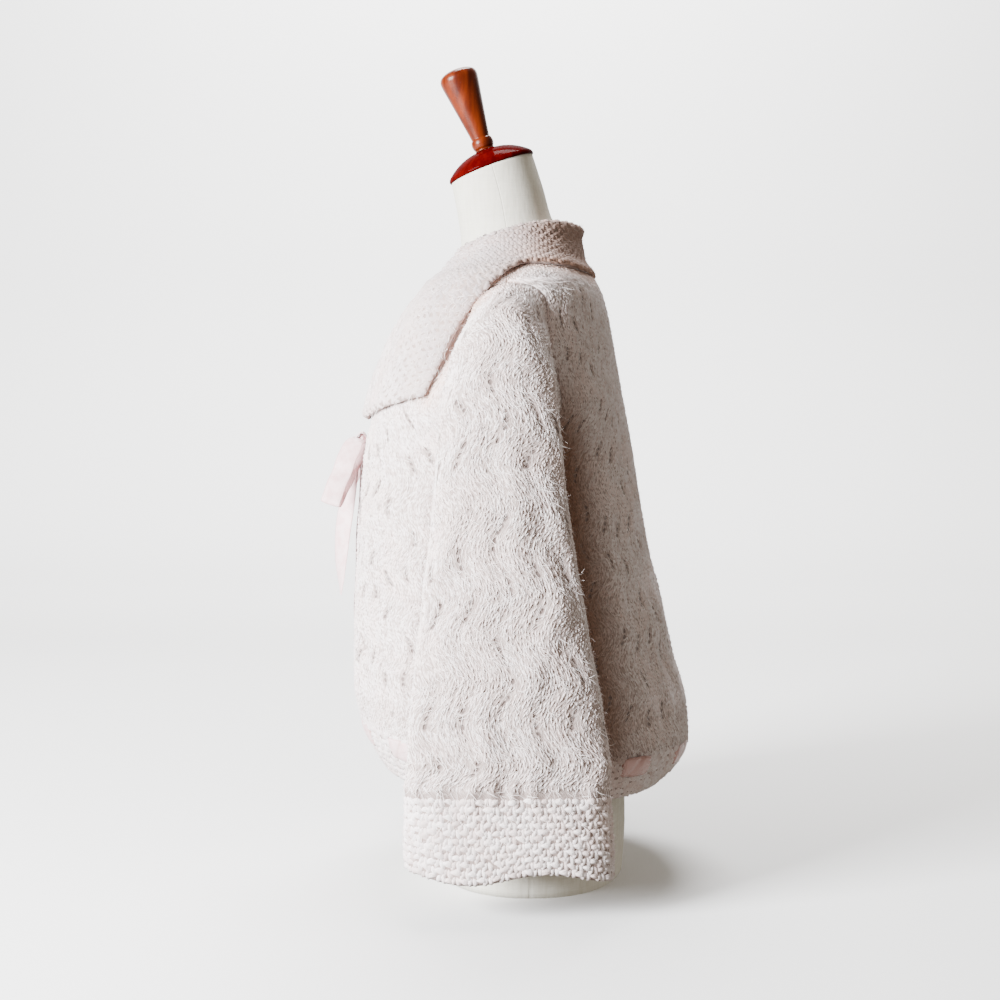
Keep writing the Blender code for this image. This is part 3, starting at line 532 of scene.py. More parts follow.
def linen_form():
    """The whole form: rings of form_surface closed by a flat fan at its base and another under the neck
    cap."""
    levels = np.concatenate([np.linspace(-0.010, 0.56, 72), np.linspace(0.565, 0.737, 60)])
    turns = np.arange(0, 361, 2.5)
    rings = form_surface(levels[:, None], turns[None, :])
    open_rings = rings[:, :-1]
    points = np.vstack([open_rings.reshape(-1, 3), open_rings[0].mean(axis=0), open_rings[-1].mean(axis=0)])
    pattern = np.stack(np.broadcast_arrays(turns[None, :] / 360, levels[:, None]), axis=-1).reshape(-1, 2)
    around = cells(np.arange(len(pattern)).reshape(rings.shape[:2]))
    ends = np.full((len(turns) - 1, 3, 2), 0.06)
    faces = tube_faces(len(levels), len(turns) - 1)
    return put_mesh("linen_form", points, faces, LINEN, [pattern[around], ends, ends])


form = linen_form()
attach(form, "root")
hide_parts("form_torso")

# %% [markdown]
# ## The turned neck block
# The cap and handle are turned on a lathe and lacquered. A turned piece is a profile swept round an axis,
# so two short lists of radius and height give both. The lacquer is a clear coat over stained wood, which is
# what gives a sharp highlight above a softer one.

# %% Lacquered wood
NECK_TILT = math.atan(0.37)
NECK_CENTRE = np.array([0, -0.016, 0.737])
# columns: radius, height above the piece's own base
CAP = np.array([
    (0.0, 0.0215), (0.0100, 0.0212), (0.0200, 0.0195), (0.0290, 0.0164), (0.0370, 0.0121), (0.0432, 0.0076),
    (0.0468, 0.0040), (0.0474, 0.0020), (0.0468, 0.0003), (0.0, 0.0003),
])
HANDLE = np.array([
    (0.0, 0.0900), (0.0090, 0.0894), (0.0158, 0.0872), (0.0195, 0.0838), (0.0205, 0.0790), (0.0170, 0.0570),
    (0.0133, 0.0350),
    (0.0104, 0.0172),
    (0.0099, 0.0135),
    (0.0112, 0.0112),
    (0.0119, 0.0075),
    (0.0113, 0.0038),
    (0.0101, 0.0012), (0.0105, 0.0), (0.0, 0.0),
])


def lacquer_finish(name, dark, light, grain_size, shine, gloss):
    """Stained wood under lacquer: long grain down the axis, fine pores and faint scratches in the coat."""
    wood = Finish(name, roughness=0.4, coat_weight=shine, coat_roughness=0.10, coat_ior=1.25)
    wood.shader.inputs["Specular IOR Level"].default_value = gloss
    upright = (-NECK_TILT, 0, 0)
    grain = wood.noise(wood.stretched(wood.place(), (grain_size, grain_size, grain_size * 0.09), upright), 1.0, 4.0)
    pores = wood.noise(wood.stretched(wood.place(), (1500, 1500, 90), upright), 1.0, 1.0)
    wear = wood.noise(wood.place(), 60.0, 5.0)
    colour = wood.mix(grain.step(0.25, 0.75), dark, light)
    colour = wood.mix(pores.step(0.62, 0.72) * 0.3, colour, tuple(c * 0.4 for c in dark))
    return wood.finished(colour, grain * 0.15 + wear * 0.3, 0.0001, wear * 0.25 + 0.22)


CHERRY = lacquer_finish("cherry_lacquer", (0.034, 0.0005, 0.0006), (0.070, 0.0018, 0.0016), 160, 0.06, 0.0)
AMBER = lacquer_finish("amber_lacquer", (0.050, 0.0052, 0.0010), (0.150, 0.0210, 0.0030), 130, 0.22, 0.12)


def turned(name, profile, lift, finish, steps=96):
    """A surface of revolution: (r cos a, r sin a, h) over the profile, leaned forward onto the neck's
    axis."""
    span = np.linspace(0, len(profile) - 1, 10 * (len(profile) - 1) + 1)
    radius, height = (through(np.arange(len(profile)), profile[:, c], span)[1:-1] for c in (0, 1))
    turn = np.radians(np.arange(steps) * 360 / steps)
    radius, height = radius[:, None], height[:, None]
    rings = np.stack([radius * np.cos(turn), radius * np.sin(turn), 0 * turn + height], axis=-1)
    points = np.vstack([rings.reshape(-1, 3), (0, 0, profile[0, 1]), (0, 0, profile[-1, 1])])
    points[:, 2] += lift
    x, y, z = points.T
    cos, sin = math.cos(NECK_TILT), math.sin(NECK_TILT)
    leaned = np.stack([x, y * cos - z * sin, y * sin + z * cos], axis=-1)
    return put_mesh(name, leaned + NECK_CENTRE, tube_faces(len(radius), steps), finish)


for piece, node, slot in (
    (turned("lacquered_cap", CAP, 0.0, CHERRY), "neck_cap", "wood_dark"),
    (turned("turned_handle", HANDLE, 0.0218, AMBER, 72), "neck_handle", "wood"),
):
    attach(piece, "root")
    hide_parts(node)

# %% [markdown]
# ## The body of the cardigan
# The back and the two fronts hang from the shoulders and are drawn in at the hem. The cloth lies on the
# form at the shoulders and hangs free below, so its surface is a blend of the form's own surface and a
# table of free rings.

# %% The body's surface
# columns: level, half width, front, back, side, rise of the front over the back
BODY = np.array([
    (0.088, 0.166, -0.132, 0.166, 0.014, 0.014), (0.112, 0.176, -0.148, 0.188, 0.016, 0.018),
    (0.136, 0.180, -0.158, 0.1956, 0.018, 0.020), (0.166, 0.180, -0.163, 0.192, 0.018, 0.020),
    (0.218, 0.175, -0.163, 0.176, 0.016, 0.016), (0.274, 0.169, -0.162, 0.164, 0.014, 0.010),
    (0.329, 0.162, -0.160, 0.151, 0.011, 0.003), (0.384, 0.156, -0.157, 0.141, 0.008, 0.000),
    (0.440, 0.150, -0.150, 0.132, 0.005, 0.000), (0.492, 0.162, -0.139, 0.122, 0.003, 0.000),
    (0.546, 0.158, -0.117, 0.112, 0.001, 0.000), (0.606, 0.155, -0.084, 0.096, 0.000, 0.000),
])
# columns: neck angle, neck level, edge angle, edge level, stand, lift over the sleeve
COLLAR = np.array([
    (0, 0.650, 0, 0.608, 0.011, 0.000),
    (40, 0.650, 28, 0.609, 0.011, 0.000),
    (75, 0.650, 55, 0.615, 0.010, 0.000),
    (105, 0.650, 76, 0.619, 0.008, 0.001), (135, 0.650, 91, 0.605, 0.005, 0.004),
    (150, 0.645, 101, 0.583, 0.002, 0.010), (170, 0.612, 109, 0.555, 0.002, 0.011),
    (175, 0.550, 117, 0.522, 0.002, 0.007), (177, 0.470, 124, 0.494, 0.001, 0.002),
])


def body_surface(level, angle):
    """A point on the cloth: free rings below the chest, and the form's surface plus a wall and its ease
    above it."""
    level, angle = np.broadcast_arrays(np.asarray(level, float), np.asarray(angle, float))
    wide, front, back, side, rise = (through(BODY[:, 0], BODY[:, c], level) for c in range(1, 6))
    x, y = ring_point(wide, front, back, side, 2.2, angle)
    free = np.stack([x, y, level + rise * ((1 - np.cos(np.radians(angle))) / 2) ** 2], axis=-1)
    ease = 0.0009 + 0.0061 * (1 - soft_step(0.603, 0.626, level))
    lying = form_surface(level, angle) + outward(form_surface, level, angle) * (KNIT_WALL + ease)[..., None]
    share = soft_step(0.520, 0.600, level)[..., None]
    return free * (1 - share) + lying * share


def collar_reach(angle):
    """The lowest level that the collar covers at this angle."""
    turns = np.append(COLLAR[:, 2], COLLAR[-1, 0])
    return np.interp(np.abs(angle), turns, np.append(COLLAR[:, 3], COLLAR[-1, 1] - 0.006))


def front_edge_x(level):
    """How far the front edge is from the centre: close at the tie, parted at the hem, a V above."""
    below = np.interp(level, [HEM, CLOSURE], [0.016, 0.004])
    above = np.interp(level, [CLOSURE, 0.56, 0.62, NECKLINE], [0.004, 0.018, 0.028, 0.034])
    return np.where(level < CLOSURE, below, above)


search = np.linspace(0.64, 0.585, 441)
SHOULDER = float(np.interp(ARMHOLE_X, body_surface(search, 90.0)[:, 0], search))
TURNS = np.concatenate([
    [HEM, 0.112, RIBBON_LEVEL],
    np.linspace(RIBBON_LEVEL, UNDERARM, 11)[1:],
    np.linspace(UNDERARM, SHOULDER, 7)[1:],
])
print("shoulder level:", round(SHOULDER, 4), "turns of the wave:", len(TURNS))


def half_row(level, face):
    """The angles of one row on the wearer's left, from the middle of a face to its side edge."""
    angles = np.linspace(0, 90, 721) if face == "back" else np.linspace(180, 90, 721)
    line = body_surface(level, angles)
    low = 0.0 if face == "back" else float(front_edge_x(level))
    high = ARMHOLE_X if UNDERARM + 1e-6 < level < SHOULDER - 1e-6 else line[-1, 0]
    ends = np.interp([low, high], np.maximum.accumulate(line[:, 0]), angles)
    return np.linspace(ends[0], 90.0 if high == line[-1, 0] else ends[1], 181)


# %% [markdown]
# ## How the knitting is raised
# Two stitches make the garment. The wave pattern is a run of soft ribs that swing from side to side, with
# groups of little holes near their turns. Moss stitch, on the collar, cuffs and hem, is one purl bump in
# every second place. The ribs are a height over the cloth, so they are a formula of the cloth's own pattern
# places, pushed out along its normals. The stitches are too small for that, and are laid on as strands of
# yarn.


# %% Heights of the cloth
def swing(turn):
    """The sideways swing of the ribs: a wave that is back where it was after two turns."""
    return -np.cos(np.pi * turn)


def rib_height(across):
    """A rounded rib between whole numbers: |sin| to a power below 1, so that its top is full and its valley
    narrow."""
    return np.abs(np.sin(np.pi * across)) ** 0.8


def lace_holes(across, along, margin=1.0):
    """1 in and near the holes of the lace: groups of three in a valley, as ellipses grown by the margin."""
    column = np.floor(across + 0.5)
    height = along / LACE_STEP + 0.5 * np.sin(2.4 * column)
    group = np.floor(height + 0.5)
    up = (height - group) * LACE_STEP
    slant = up * HOLE_SLANT * np.sin(group * np.pi + column * 1.3)
    wide = (across - column - slant) / HOLE_HALF_WIDTH
    tall = (up / HOLE_STEP - np.floor(up / HOLE_STEP + 0.5)) / HOLE_HALF_HEIGHT
    there = (np.abs(up) < 0.28) & (np.sin(3.7 * column + 2.3 * group) > -0.45)
    return (wide**2 + tall**2 < margin**2) & there


Crease = namedtuple("Crease", "across along to_across to_along width depth bow")


def creases_on(across, along, creases):
    """Soft ridges, or troughs where the depth is negative: a bell curve of the distance from a bowed line,
    faded at both of its ends."""
    total = np.zeros(np.broadcast(across, along).shape)
    for fold in creases:
        way = np.array([fold.to_across - fold.across, fold.to_along - fold.along])
        length = np.hypot(*way)
        share = ((across - fold.across) * way[0] + (along - fold.along) * way[1]) / length**2
        off = ((across - fold.across) * way[1] - (along - fold.along) * way[0]) / length
        off = off - fold.bow * 4 * share * (1 - share)
        fade = soft_step(-0.2, 0.3, share) * (1 - soft_step(0.7, 1.2, share))
        total += fold.depth * bell(off, fold.width) * fade
    return total


# %% A knitted wall
Cloth = namedtuple("Cloth", "outer out across along ribs round marks")


def marked(shape, **marks):
    """Named numbers at each point of a cloth, filled out to its whole grid."""
    return {name: np.broadcast_to(value, shape).astype(float) for name, value in marks.items()}


def faced(outer, guess):
    """Unit normals of a raised grid: the cross product of its two gradients, on the side of the guess."""
    normals = unit(np.cross(np.gradient(outer, axis=1), np.gradient(outer, axis=0)))
    return normals * np.sign(np.sum(normals * guess, axis=-1, keepdims=True) + 1e-9)


def rim(fine, coarse):
    """Faces between a line of points and a line with one for every four of them."""
    a, b, c, d, e = (fine[k : len(fine) - 4 + k : 4] if k < 4 else fine[4::4] for k in range(5))
    p, q = coarse[:-1], coarse[1:]
    fan = ((a, b, p), (b, c, p), (c, d, q), (d, e, q), (c, q, p))
    return np.concatenate([np.stack(corners, axis=-1) for corners in fan])


def knitted_wall(name, cloth, inner):
    """A raised outer grid over a plain inner grid that has every fourth of its lines and rows, joined round
    the rims. A round cloth's last line is its first line again, so those points are made one."""
    rows, lines = cloth.outer.shape[:2]
    fine = np.arange(rows * lines).reshape(rows, lines)
    coarse = rows * lines + np.arange(inner.shape[0] * inner.shape[1]).reshape(inner.shape[:2])
    rims = [rim(fine[0], coarse[0])[:, ::-1], rim(fine[-1], coarse[-1])]
    if not cloth.round:
        rims += [rim(fine[:, 0], coarse[:, 0]), rim(fine[:, -1], coarse[:, -1])[:, ::-1]]
    faces = [cells(fine), cells(coarse)[:, ::-1], *rims]
    pattern = np.stack(np.broadcast_arrays(cloth.across, cloth.along), axis=-1)
    places = np.vstack([pattern.reshape(-1, 2), pattern[::4, ::4].reshape(-1, 2)])
    points = np.vstack([cloth.outer.reshape(-1, 3), inner.reshape(-1, 3)])
    values = {k: np.concatenate([v.ravel(), v[::4, ::4].ravel() * 0]) for k, v in cloth.marks.items()}
    stitches = [places[f] for f in faces]
    if cloth.round:
        same = np.arange(len(points))
        same[fine[:, -1]] = fine[:, 0]
        same[coarse[:, -1]] = coarse[:, 0]
        kept, number = np.unique(same, return_inverse=True)
        faces = [number[f] for f in faces]
        points = points[kept]
        values = {k: v[kept] for k, v in values.items()}
    return put_mesh(name, points, faces, GROUND, stitches, values)


# %% [markdown]
# ## Yarn, stitch by stitch
# A knit stitch shows as a V: two teardrops of yarn that lean apart. A purl stitch shows as one short arc
# across. Each of them is a small raised lozenge whose two ends tuck into the cloth. A curve object for
# every stitch would be tens of thousands of objects, so all the strands of a piece are worked out together
# as arrays and make one mesh.


# %% Strands
FLANK_SUNK, END_SUNK = 0.0003, 0.0005


def read_grid(grid, rows, lines, round_cloth=False):
    """Values of a grid between its points, weighted from the four round each place. A round cloth wraps its
    lines."""
    lines = lines % (grid.shape[1] - 1) if round_cloth else lines
    rows, lines = np.clip(rows, 0, grid.shape[0] - 1.001), np.clip(lines, 0, grid.shape[1] - 1.001)
    i, j = rows.astype(int), lines.astype(int)
    extra = (1,) * (grid.ndim - 2)
    a, b = (rows - i).reshape(rows.shape + extra), (lines - j).reshape(lines.shape + extra)
    low = grid[i, j] * (1 - b) + grid[i, j + 1] * b
    high = grid[i + 1, j] * (1 - b) + grid[i + 1, j + 1] * b
    return low * (1 - a) + high * a


def strands(cloth, start, end, width, height, bow=0.0, stations=1):
    """Lozenges of yarn from start to end, each a (row, line) pair of arrays. With t from 0 to 1 along it,
    the middle is read off the cloth and moved out by height * sin(pi t)^0.6 and sideways by bow * 4t(1-t);
    the flanks are width * sin(pi t)^0.7 / 2 away on both sides, just under the surface. Gives points, faces,
    pattern places and marks."""
    count = len(start[0])
    width, height, bow = (np.broadcast_to(np.asarray(v, float), (count,))[:, None] for v in (width, height, bow))
    spots = np.linspace(0, 1, stations + 2)
    where = [(start[0] * (1 - t) + end[0] * t, start[1] * (1 - t) + end[1] * t) for t in spots]
    middle = [read_grid(cloth.outer, r, q, cloth.round) for r, q in where]
    out = unit(read_grid(cloth.out, *where[len(where) // 2], cloth.round))
    side = unit(np.cross(out, middle[-1] - middle[0]))
    points, places = [middle[0] - out * END_SUNK], [(0.5, 0.0)]
    for t, spot in list(zip(spots, middle))[1:-1]:
        spot = spot + side * bow * 4 * t * (1 - t)
        reach = side * width / 2 * math.sin(math.pi * t) ** 0.7
        crown = spot + out * height * math.sin(math.pi * t) ** 0.6
        points += [spot - reach - out * FLANK_SUNK, crown, spot + reach - out * FLANK_SUNK]
        places += [(0.0, t), (0.5, t), (1.0, t)]
    points.append(middle[-1] - out * END_SUNK)
    places.append((0.5, 1.0))
    last = 3 * stations + 1
    corners = [(0, 2, 1), (0, 3, 2), (last, last - 3, last - 2), (last, last - 2, last - 1)]
    for k in range(1, last - 3, 3):
        corners += [(k, k + 1, k + 4), (k, k + 4, k + 3), (k + 1, k + 2, k + 5), (k + 1, k + 5, k + 4)]
    marks = {"tone": luck.beta(0.7, 1.6, count), "shift": luck.uniform(0, 9, count)}
    for mark in ("shade", "glow", "dim"):
        marks[mark] = read_grid(cloth.marks[mark], *where[len(where) // 2], cloth.round)
    return np.stack(points, axis=1), np.array(corners), np.array(places), marks


def lay_strands(name, *batches):
    """Joins batches of strands into one mesh."""
    points, faces, places, marks, start = [], [], [], {}, 0
    for dots, corners, spots, values in batches:
        count, size = dots.shape[:2]
        base = start + np.arange(count)[:, None, None] * size
        faces.append((base + corners[None]).reshape(-1, 3))
        shift = values.pop("shift")[:, None, None, None] * [1.0, 0.7]
        places.append((spots[corners][None] * [1.0, 3.0] + shift).reshape(-1, 3, 2))
        points.append(dots.reshape(-1, 3))
        for mark, value in values.items():
            marks.setdefault(mark, []).append(np.repeat(value, size))
        start += count * size
    marks = {k: np.concatenate(v) for k, v in marks.items()}
    return put_mesh(name, np.vstack(points), faces, YARN, places, marks)


LONGEST_STITCH = 0.024


def knit_stitches(cloth, rows, wales, seen):
    """The V stitches of a cloth: in each course (one entry of rows) the wales are evenly spaced over the
    ribs and follow their swing. Each V has a leg to either side, 2 courses tall, with a little of the hand's
    unevenness."""
    grid_rows, lines = cloth.outer.shape[:2]
    wale = (np.arange(cloth.ribs * wales) + 0.5) / wales

    def line_at(row, across):
        """The line of the grid at this place across the ribs."""
        low = int(min(row, grid_rows - 2))
        pattern = cloth.across[low] * (low + 1 - row) + cloth.across[low + 1] * (row - low)
        if cloth.round:
            return (across - pattern[0]) / cloth.ribs * (lines - 1)
        return np.interp(across, pattern, np.arange(lines))

    step = float(np.mean(np.diff(rows)))
    starts, ends = [], []
    for row in rows:
        top = min(row + 2.0 * step, grid_rows - 1.01) if step > 0 else max(row + 2.0 * step, 0.01)
        for leg in (-1, 1):
            foot = wale + leg * 0.08 / wales + luck.normal(0, 0.10 / wales, len(wale))
            head = wale + leg * 0.38 / wales + luck.normal(0, 0.14 / wales, len(wale))
            starts.append((row + luck.normal(0, 0.33, len(wale)) * step, line_at(row, foot)))
            ends.append((top + luck.normal(0, 0.28, len(wale)) * step, line_at(top, head)))
    start, end = np.concatenate(starts, axis=1), np.concatenate(ends, axis=1)
    middle = (start + end) / 2
    if cloth.round:
        low = np.clip(middle[0].astype(int), 0, grid_rows - 2)
        part = middle[0] - low
        shift = cloth.across[low, 0] * (1 - part) + cloth.across[low + 1, 0] * part
        across = middle[1] / (lines - 1) * cloth.ribs + shift
    else:
        across = read_grid(cloth.across, *middle)
    along = read_grid(cloth.along, *middle, cloth.round)
    lace = read_grid(cloth.marks["lace"], *middle, cloth.round) > 0.5
    keep = read_grid(seen.astype(float), *middle, cloth.round) > 0.5
    keep &= ~(lace_holes(across, along, 2.3) & lace) & (luck.random(len(along)) > 0.07)
    start, end = start[:, keep], end[:, keep]
    reach = read_grid(cloth.outer, *start, cloth.round) - read_grid(cloth.outer, *end, cloth.round)
    width = 0.0021 * luck.uniform(0.6, 1.5, keep.sum())
    keep = np.linalg.norm(reach, axis=-1) < LONGEST_STITCH
    return strands(cloth, start[:, keep], end[:, keep], width[keep], luck.uniform(0.0008, 0.0019, keep.sum()))


def moss_stitches(cloth, rows, lines, thick, sideways=True):
    """Moss stitch round the places given by rows x lines: a purl arc in every second place, bowed down, and
    the two short legs of a knit stitch in the others. The yarn is thick enough to leave only a small pit
    beside each."""
    half_row, half_line = np.diff(rows).mean() / 2, np.diff(lines).mean() / 2
    i, j = np.meshgrid(np.arange(len(rows)), np.arange(len(lines)), indexing="ij")
    purl = ((i + j) % 2 == 0).ravel()
    row, line = (v.ravel() for v in np.meshgrid(rows, lines, indexing="ij"))
    row = row + luck.normal(0, 0.16, row.size) * half_row
    line = line + luck.normal(0, 0.16, row.size) * half_line
    tilt = luck.normal(0.25, 0.35, row.size)
    r, q, lean = row[purl], line[purl], tilt[purl]
    size = luck.uniform(0.85, 1.15, purl.sum())
    if sideways:
        r_reach, q_reach = lean * half_row, 1.65 * half_line * size
    else:
        r_reach, q_reach = 1.65 * half_row * size, lean * half_line
    start, end = (r - r_reach, q - q_reach), (r + r_reach, q + q_reach)
    arcs = strands(cloth, start, end, thick * size, 0.40 * thick * size, 0.35 * thick, 3)
    legs = []
    r, q = row[~purl], line[~purl]
    for leg in (-1, 1):
        if sideways:
            start = (r - 1.55 * half_row, q + leg * 0.15 * half_line)
            end = (r + 1.45 * half_row, q + leg * 1.15 * half_line)
        else:
            start = (r + leg * 0.15 * half_row, q - 1.55 * half_line)
            end = (r + leg * 1.15 * half_row, q + 1.45 * half_line)
        legs.append(strands(cloth, start, end, 0.85 * thick, 0.34 * thick, 0.0, 3))
    return [arcs, *legs]


# %% [markdown]
# ## Brushed fibres
# A brush lifts hairs out of mohair and lays them down along the ribs. Each hair here is a tapering strip of
# three triangles: two points at the root, two halfway and one at the tip. The last rows of the hem and
# cuffs stay bare, so that no hair hangs past an edge.


# %% Hairs
def brushed(name, cloth, count, length):
    """A hair starts at a random cell of the grid, runs downward with the ribs, and lifts off toward its tip:
    point = root + way * reach * t + out * lift * t^1.5 + side * curl * t^2, for t = 0, 1/2 and 1."""
    rise, turn = np.gradient(cloth.outer, axis=0), np.gradient(cloth.outer, axis=1)
    down = rise * np.where(rise[..., 2:] > 0, -1, 1)
    lean = np.gradient(cloth.across, axis=0) / np.maximum(np.abs(np.gradient(cloth.across, axis=1)), 1e-6)
    way = unit(down + turn * np.clip(lean, -2, 2)[..., None] * np.where(rise[..., 2:] > 0, 1, -1))
    size = np.linalg.norm(np.cross(rise, turn), axis=-1)
    keep = size * (1 - 0.8 * lace_holes(cloth.across, cloth.along, 1.3) * cloth.marks["lace"])
    keep = keep * (1 - 0.4 * cloth.marks["pit"]) * (1 - cloth.marks["bare"])
    chosen = luck.choice(keep.size, count, p=(keep / keep.sum()).ravel())
    jitter = luck.uniform(-0.5, 0.5, (count, 2))
    root, up, ways = (a.reshape(-1, 3)[chosen] for a in (cloth.outer, cloth.out, way))
    root = root + rise.reshape(-1, 3)[chosen] * jitter[:, :1] + turn.reshape(-1, 3)[chosen] * jitter[:, 1:]
    side = unit(np.cross(up, ways))
    angle = luck.normal(0, 0.55, (count, 1))
    forward = ways * np.cos(angle) + side * np.sin(angle)
    reach = length * luck.uniform(0.5, 1.4, (count, 1))
    lift = luck.gamma(1.6, 0.0006, (count, 1)).clip(0.0003, 0.0040) + 0.0010
    curl = luck.normal(0, 0.3, (count, 1)) * reach
    width = luck.uniform(0.00012, 0.00030, (count, 1))
    across = unit(np.cross(up, forward))
    points = []
    for t, wide in ((0.0, 1.0), (0.5, 0.8), (1.0, 0.0)):
        middle = root + forward * reach * t + up * (lift * t**1.5 + 0.0004) + across * curl * t * t
        flank = across * width * wide
        points += [middle + flank, middle - flank] if wide else [middle]
    base = np.arange(count)[:, None] * 5
    faces = np.concatenate([base + np.array(corner) for corner in ((0, 2, 1), (2, 3, 1), (2, 4, 3))])
    own = {"tone": luck.beta(1.2, 2.2, count), "shade": cloth.marks["shade"].ravel()[chosen]}
    marks = {mark: np.repeat(value, 5) for mark, value in own.items()}
    return put_mesh(name, np.stack(points, axis=1).reshape(-1, 3), [faces], HAIR, None, marks)


# %% [markdown]
# ## The collar
# The collar is a wide band in moss stitch that stands at the neck, rolls over and lies on the shoulders,
# over the heads of the sleeves. Its middle surface is worked out from the cloth that it lies on: each point
# is a place on the body, moved out by a height that is tall at the roll and small at the edge.

# %% Collar
ROLL = np.array([
    (0.00, 0.0, 0.0), (-0.02, 0.55, 0.0), (-0.02, 1.0, 0.0), (0.03, 1.0, 0.0043), (0.11, 0.95, 0.0033),
    (0.25, 0.65, 0.0023), (0.48, 0.15, 0.0028), (0.74, 0.0, 0.0013), (1.00, 0.0, 0.0007),
])


def collar_line(share, steps):
    """The middle line of the left collar at one station: up the stand, over the roll and down to the edge. A
    height is the seat plus a share of the stand plus a fixed rise."""
    row = np.array([float(through(np.linspace(0, 1, len(COLLAR)), COLLAR[:, c], share)) for c in range(6)])
    neck_angle, neck_level, edge_angle, edge_level, stand, over = row
    neck_angle = min(neck_angle, half_row(neck_level, "front")[0] - 1.0)
    seat = COLLAR_WALL / 2 + SEAM_GAP + 0.0008 * soft_step(140, 170, neck_angle)
    places = np.linspace(0, len(ROLL) - 1, steps)
    along, up, rise = (through(np.arange(len(ROLL)), ROLL[:, c], places) for c in range(3))
    height = seat + up * stand + rise
    level = neck_level + (edge_level - neck_level) * along
    angle = neck_angle + (edge_angle - neck_angle) * along
    laid = body_surface(level, angle) + outward(body_surface, level, angle) * height[:, None]
    return laid + (over * soft_step(0.2, 0.9, along))[:, None] * np.array([0, -0.6, 0.8])


COLLAR_EDGE = np.array([collar_line(share, 9)[-1] for share in np.linspace(0, 1, 81)])


def near_collar(points):
    """How far each point is from the collar's outer edge, on the wearer's left or right alike."""
    flat = points.reshape(-1, 3).copy()
    flat[:, 0] = np.abs(flat[:, 0])
    gaps = [np.linalg.norm(flat - spot, axis=-1) for spot in COLLAR_EDGE]
    return np.min(gaps, axis=0).reshape(points.shape[:2])


# %% [markdown]
# ## Back and fronts
# Each panel is one grid: rows from hem to neck, and lines from edge to edge that share a row's length
# evenly, as rows of knitting do. The ribbon draws the hem in, so small gathers stand up above it and die
# out over a hand's width.

# %% Panels
ROWS = 201
COURSE, FIRST_COURSE, WALES = 0.0042, 0.130, 6
EDGE_GAP, MOSS_ROW, MOSS_COLUMN = 0.0022, 0.0068, 0.0074
HAIR_LENGTH = 0.0120
BACK_CREASES = [
    Crease(-0.120, 0.150, -0.085, 0.300, 0.013, 0.0034, 0.010),
    Crease(-0.062, 0.146, -0.070, 0.245, 0.010, -0.0026, -0.006),
    Crease(-0.020, 0.150, -0.012, 0.330, 0.014, 0.0030, 0.008),
    Crease(0.030, 0.148, 0.038, 0.215, 0.009, -0.0028, 0.004),
    Crease(0.072, 0.150, 0.060, 0.290, 0.013, 0.0034, -0.009),
    Crease(0.118, 0.150, 0.100, 0.260, 0.012, -0.0024, 0.007),
    Crease(0.150, 0.200, 0.128, 0.400, 0.015, 0.0030, 0.010),
    Crease(-0.158, 0.230, -0.125, 0.400, 0.014, 0.0028, -0.008),
    Crease(-0.095, 0.470, -0.030, 0.545, 0.014, -0.0016, 0.006),
    Crease(0.100, 0.460, 0.040, 0.540, 0.015, -0.0018, -0.006),
]
FRONT_CREASES = [
    Crease(0.040, 0.150, 0.052, 0.270, 0.012, 0.0030, 0.006),
    Crease(0.090, 0.148, 0.080, 0.240, 0.010, -0.0026, -0.004),
    Crease(0.135, 0.150, 0.150, 0.330, 0.013, 0.0032, 0.010),
    Crease(0.020, 0.300, 0.070, 0.420, 0.014, -0.0018, 0.006),
    Crease(0.170, 0.200, 0.175, 0.380, 0.012, -0.0022, 0.004),
    Crease(0.015, 0.440, 0.095, 0.380, 0.011, 0.0016, -0.006),
    Crease(0.018, 0.430, 0.075, 0.330, 0.010, 0.0015, -0.004),
]
STRETCHES = [22, 52, 82, 108, 135, 163]


def panel(face, lines):
    """A panel's plain grid, its normals, angles, levels and places across and along the pattern."""
    levels = np.concatenate([np.linspace(HEM, SHOULDER, ROWS - 24), np.linspace(SHOULDER, NECKLINE, 25)[1:]])
    shares = np.linspace(0, 1, lines)
    ribs = 20 if face == "back" else 9
    angles = []
    for level in levels:
        row = half_row(level, face)
        whole = np.concatenate([-row[:0:-1], row]) if face == "back" else row
        along = run_of(body_surface(level, whole))
        angles.append(np.interp(shares * along[-1], along, whole))
    angles = np.array(angles)
    plain = body_surface(levels[:, None], angles)
    normals = outward(body_surface, levels[:, None], angles)
    turn = np.interp(levels, TURNS, np.arange(len(TURNS))) + np.maximum(levels - SHOULDER, 0) / 0.030
    fade = np.clip(np.minimum(shares, 1 - shares) * ribs, 0, 1)
    across = shares[None, :] * ribs - RIB_SWAY * swing(turn)[:, None] * fade[None, :]
    return levels, angles, plain, normals, across, np.broadcast_to(turn[:, None], across.shape), ribs


def hold_seams(levels, plain, normals, line, hand, front):
    """Keeps a side edge in its seam: the armhole's plane beside the arm, and the middle of the side
    elsewhere."""
    armhole = (levels > UNDERARM + 1e-6) & (levels < SHOULDER - 1e-6)
    for rows, axis in ((armhole, 0), (~armhole, 1)):
        edge = normals[rows, line]
        edge[:, axis] = 0
        normals[rows, line] = unit(edge)
    plain[armhole, line, 0] = hand * (ARMHOLE_X - SEAM_GAP / 2)
    plain[~armhole, line, 1] += (-SEAM_GAP / 2) if front else (SEAM_GAP / 2)


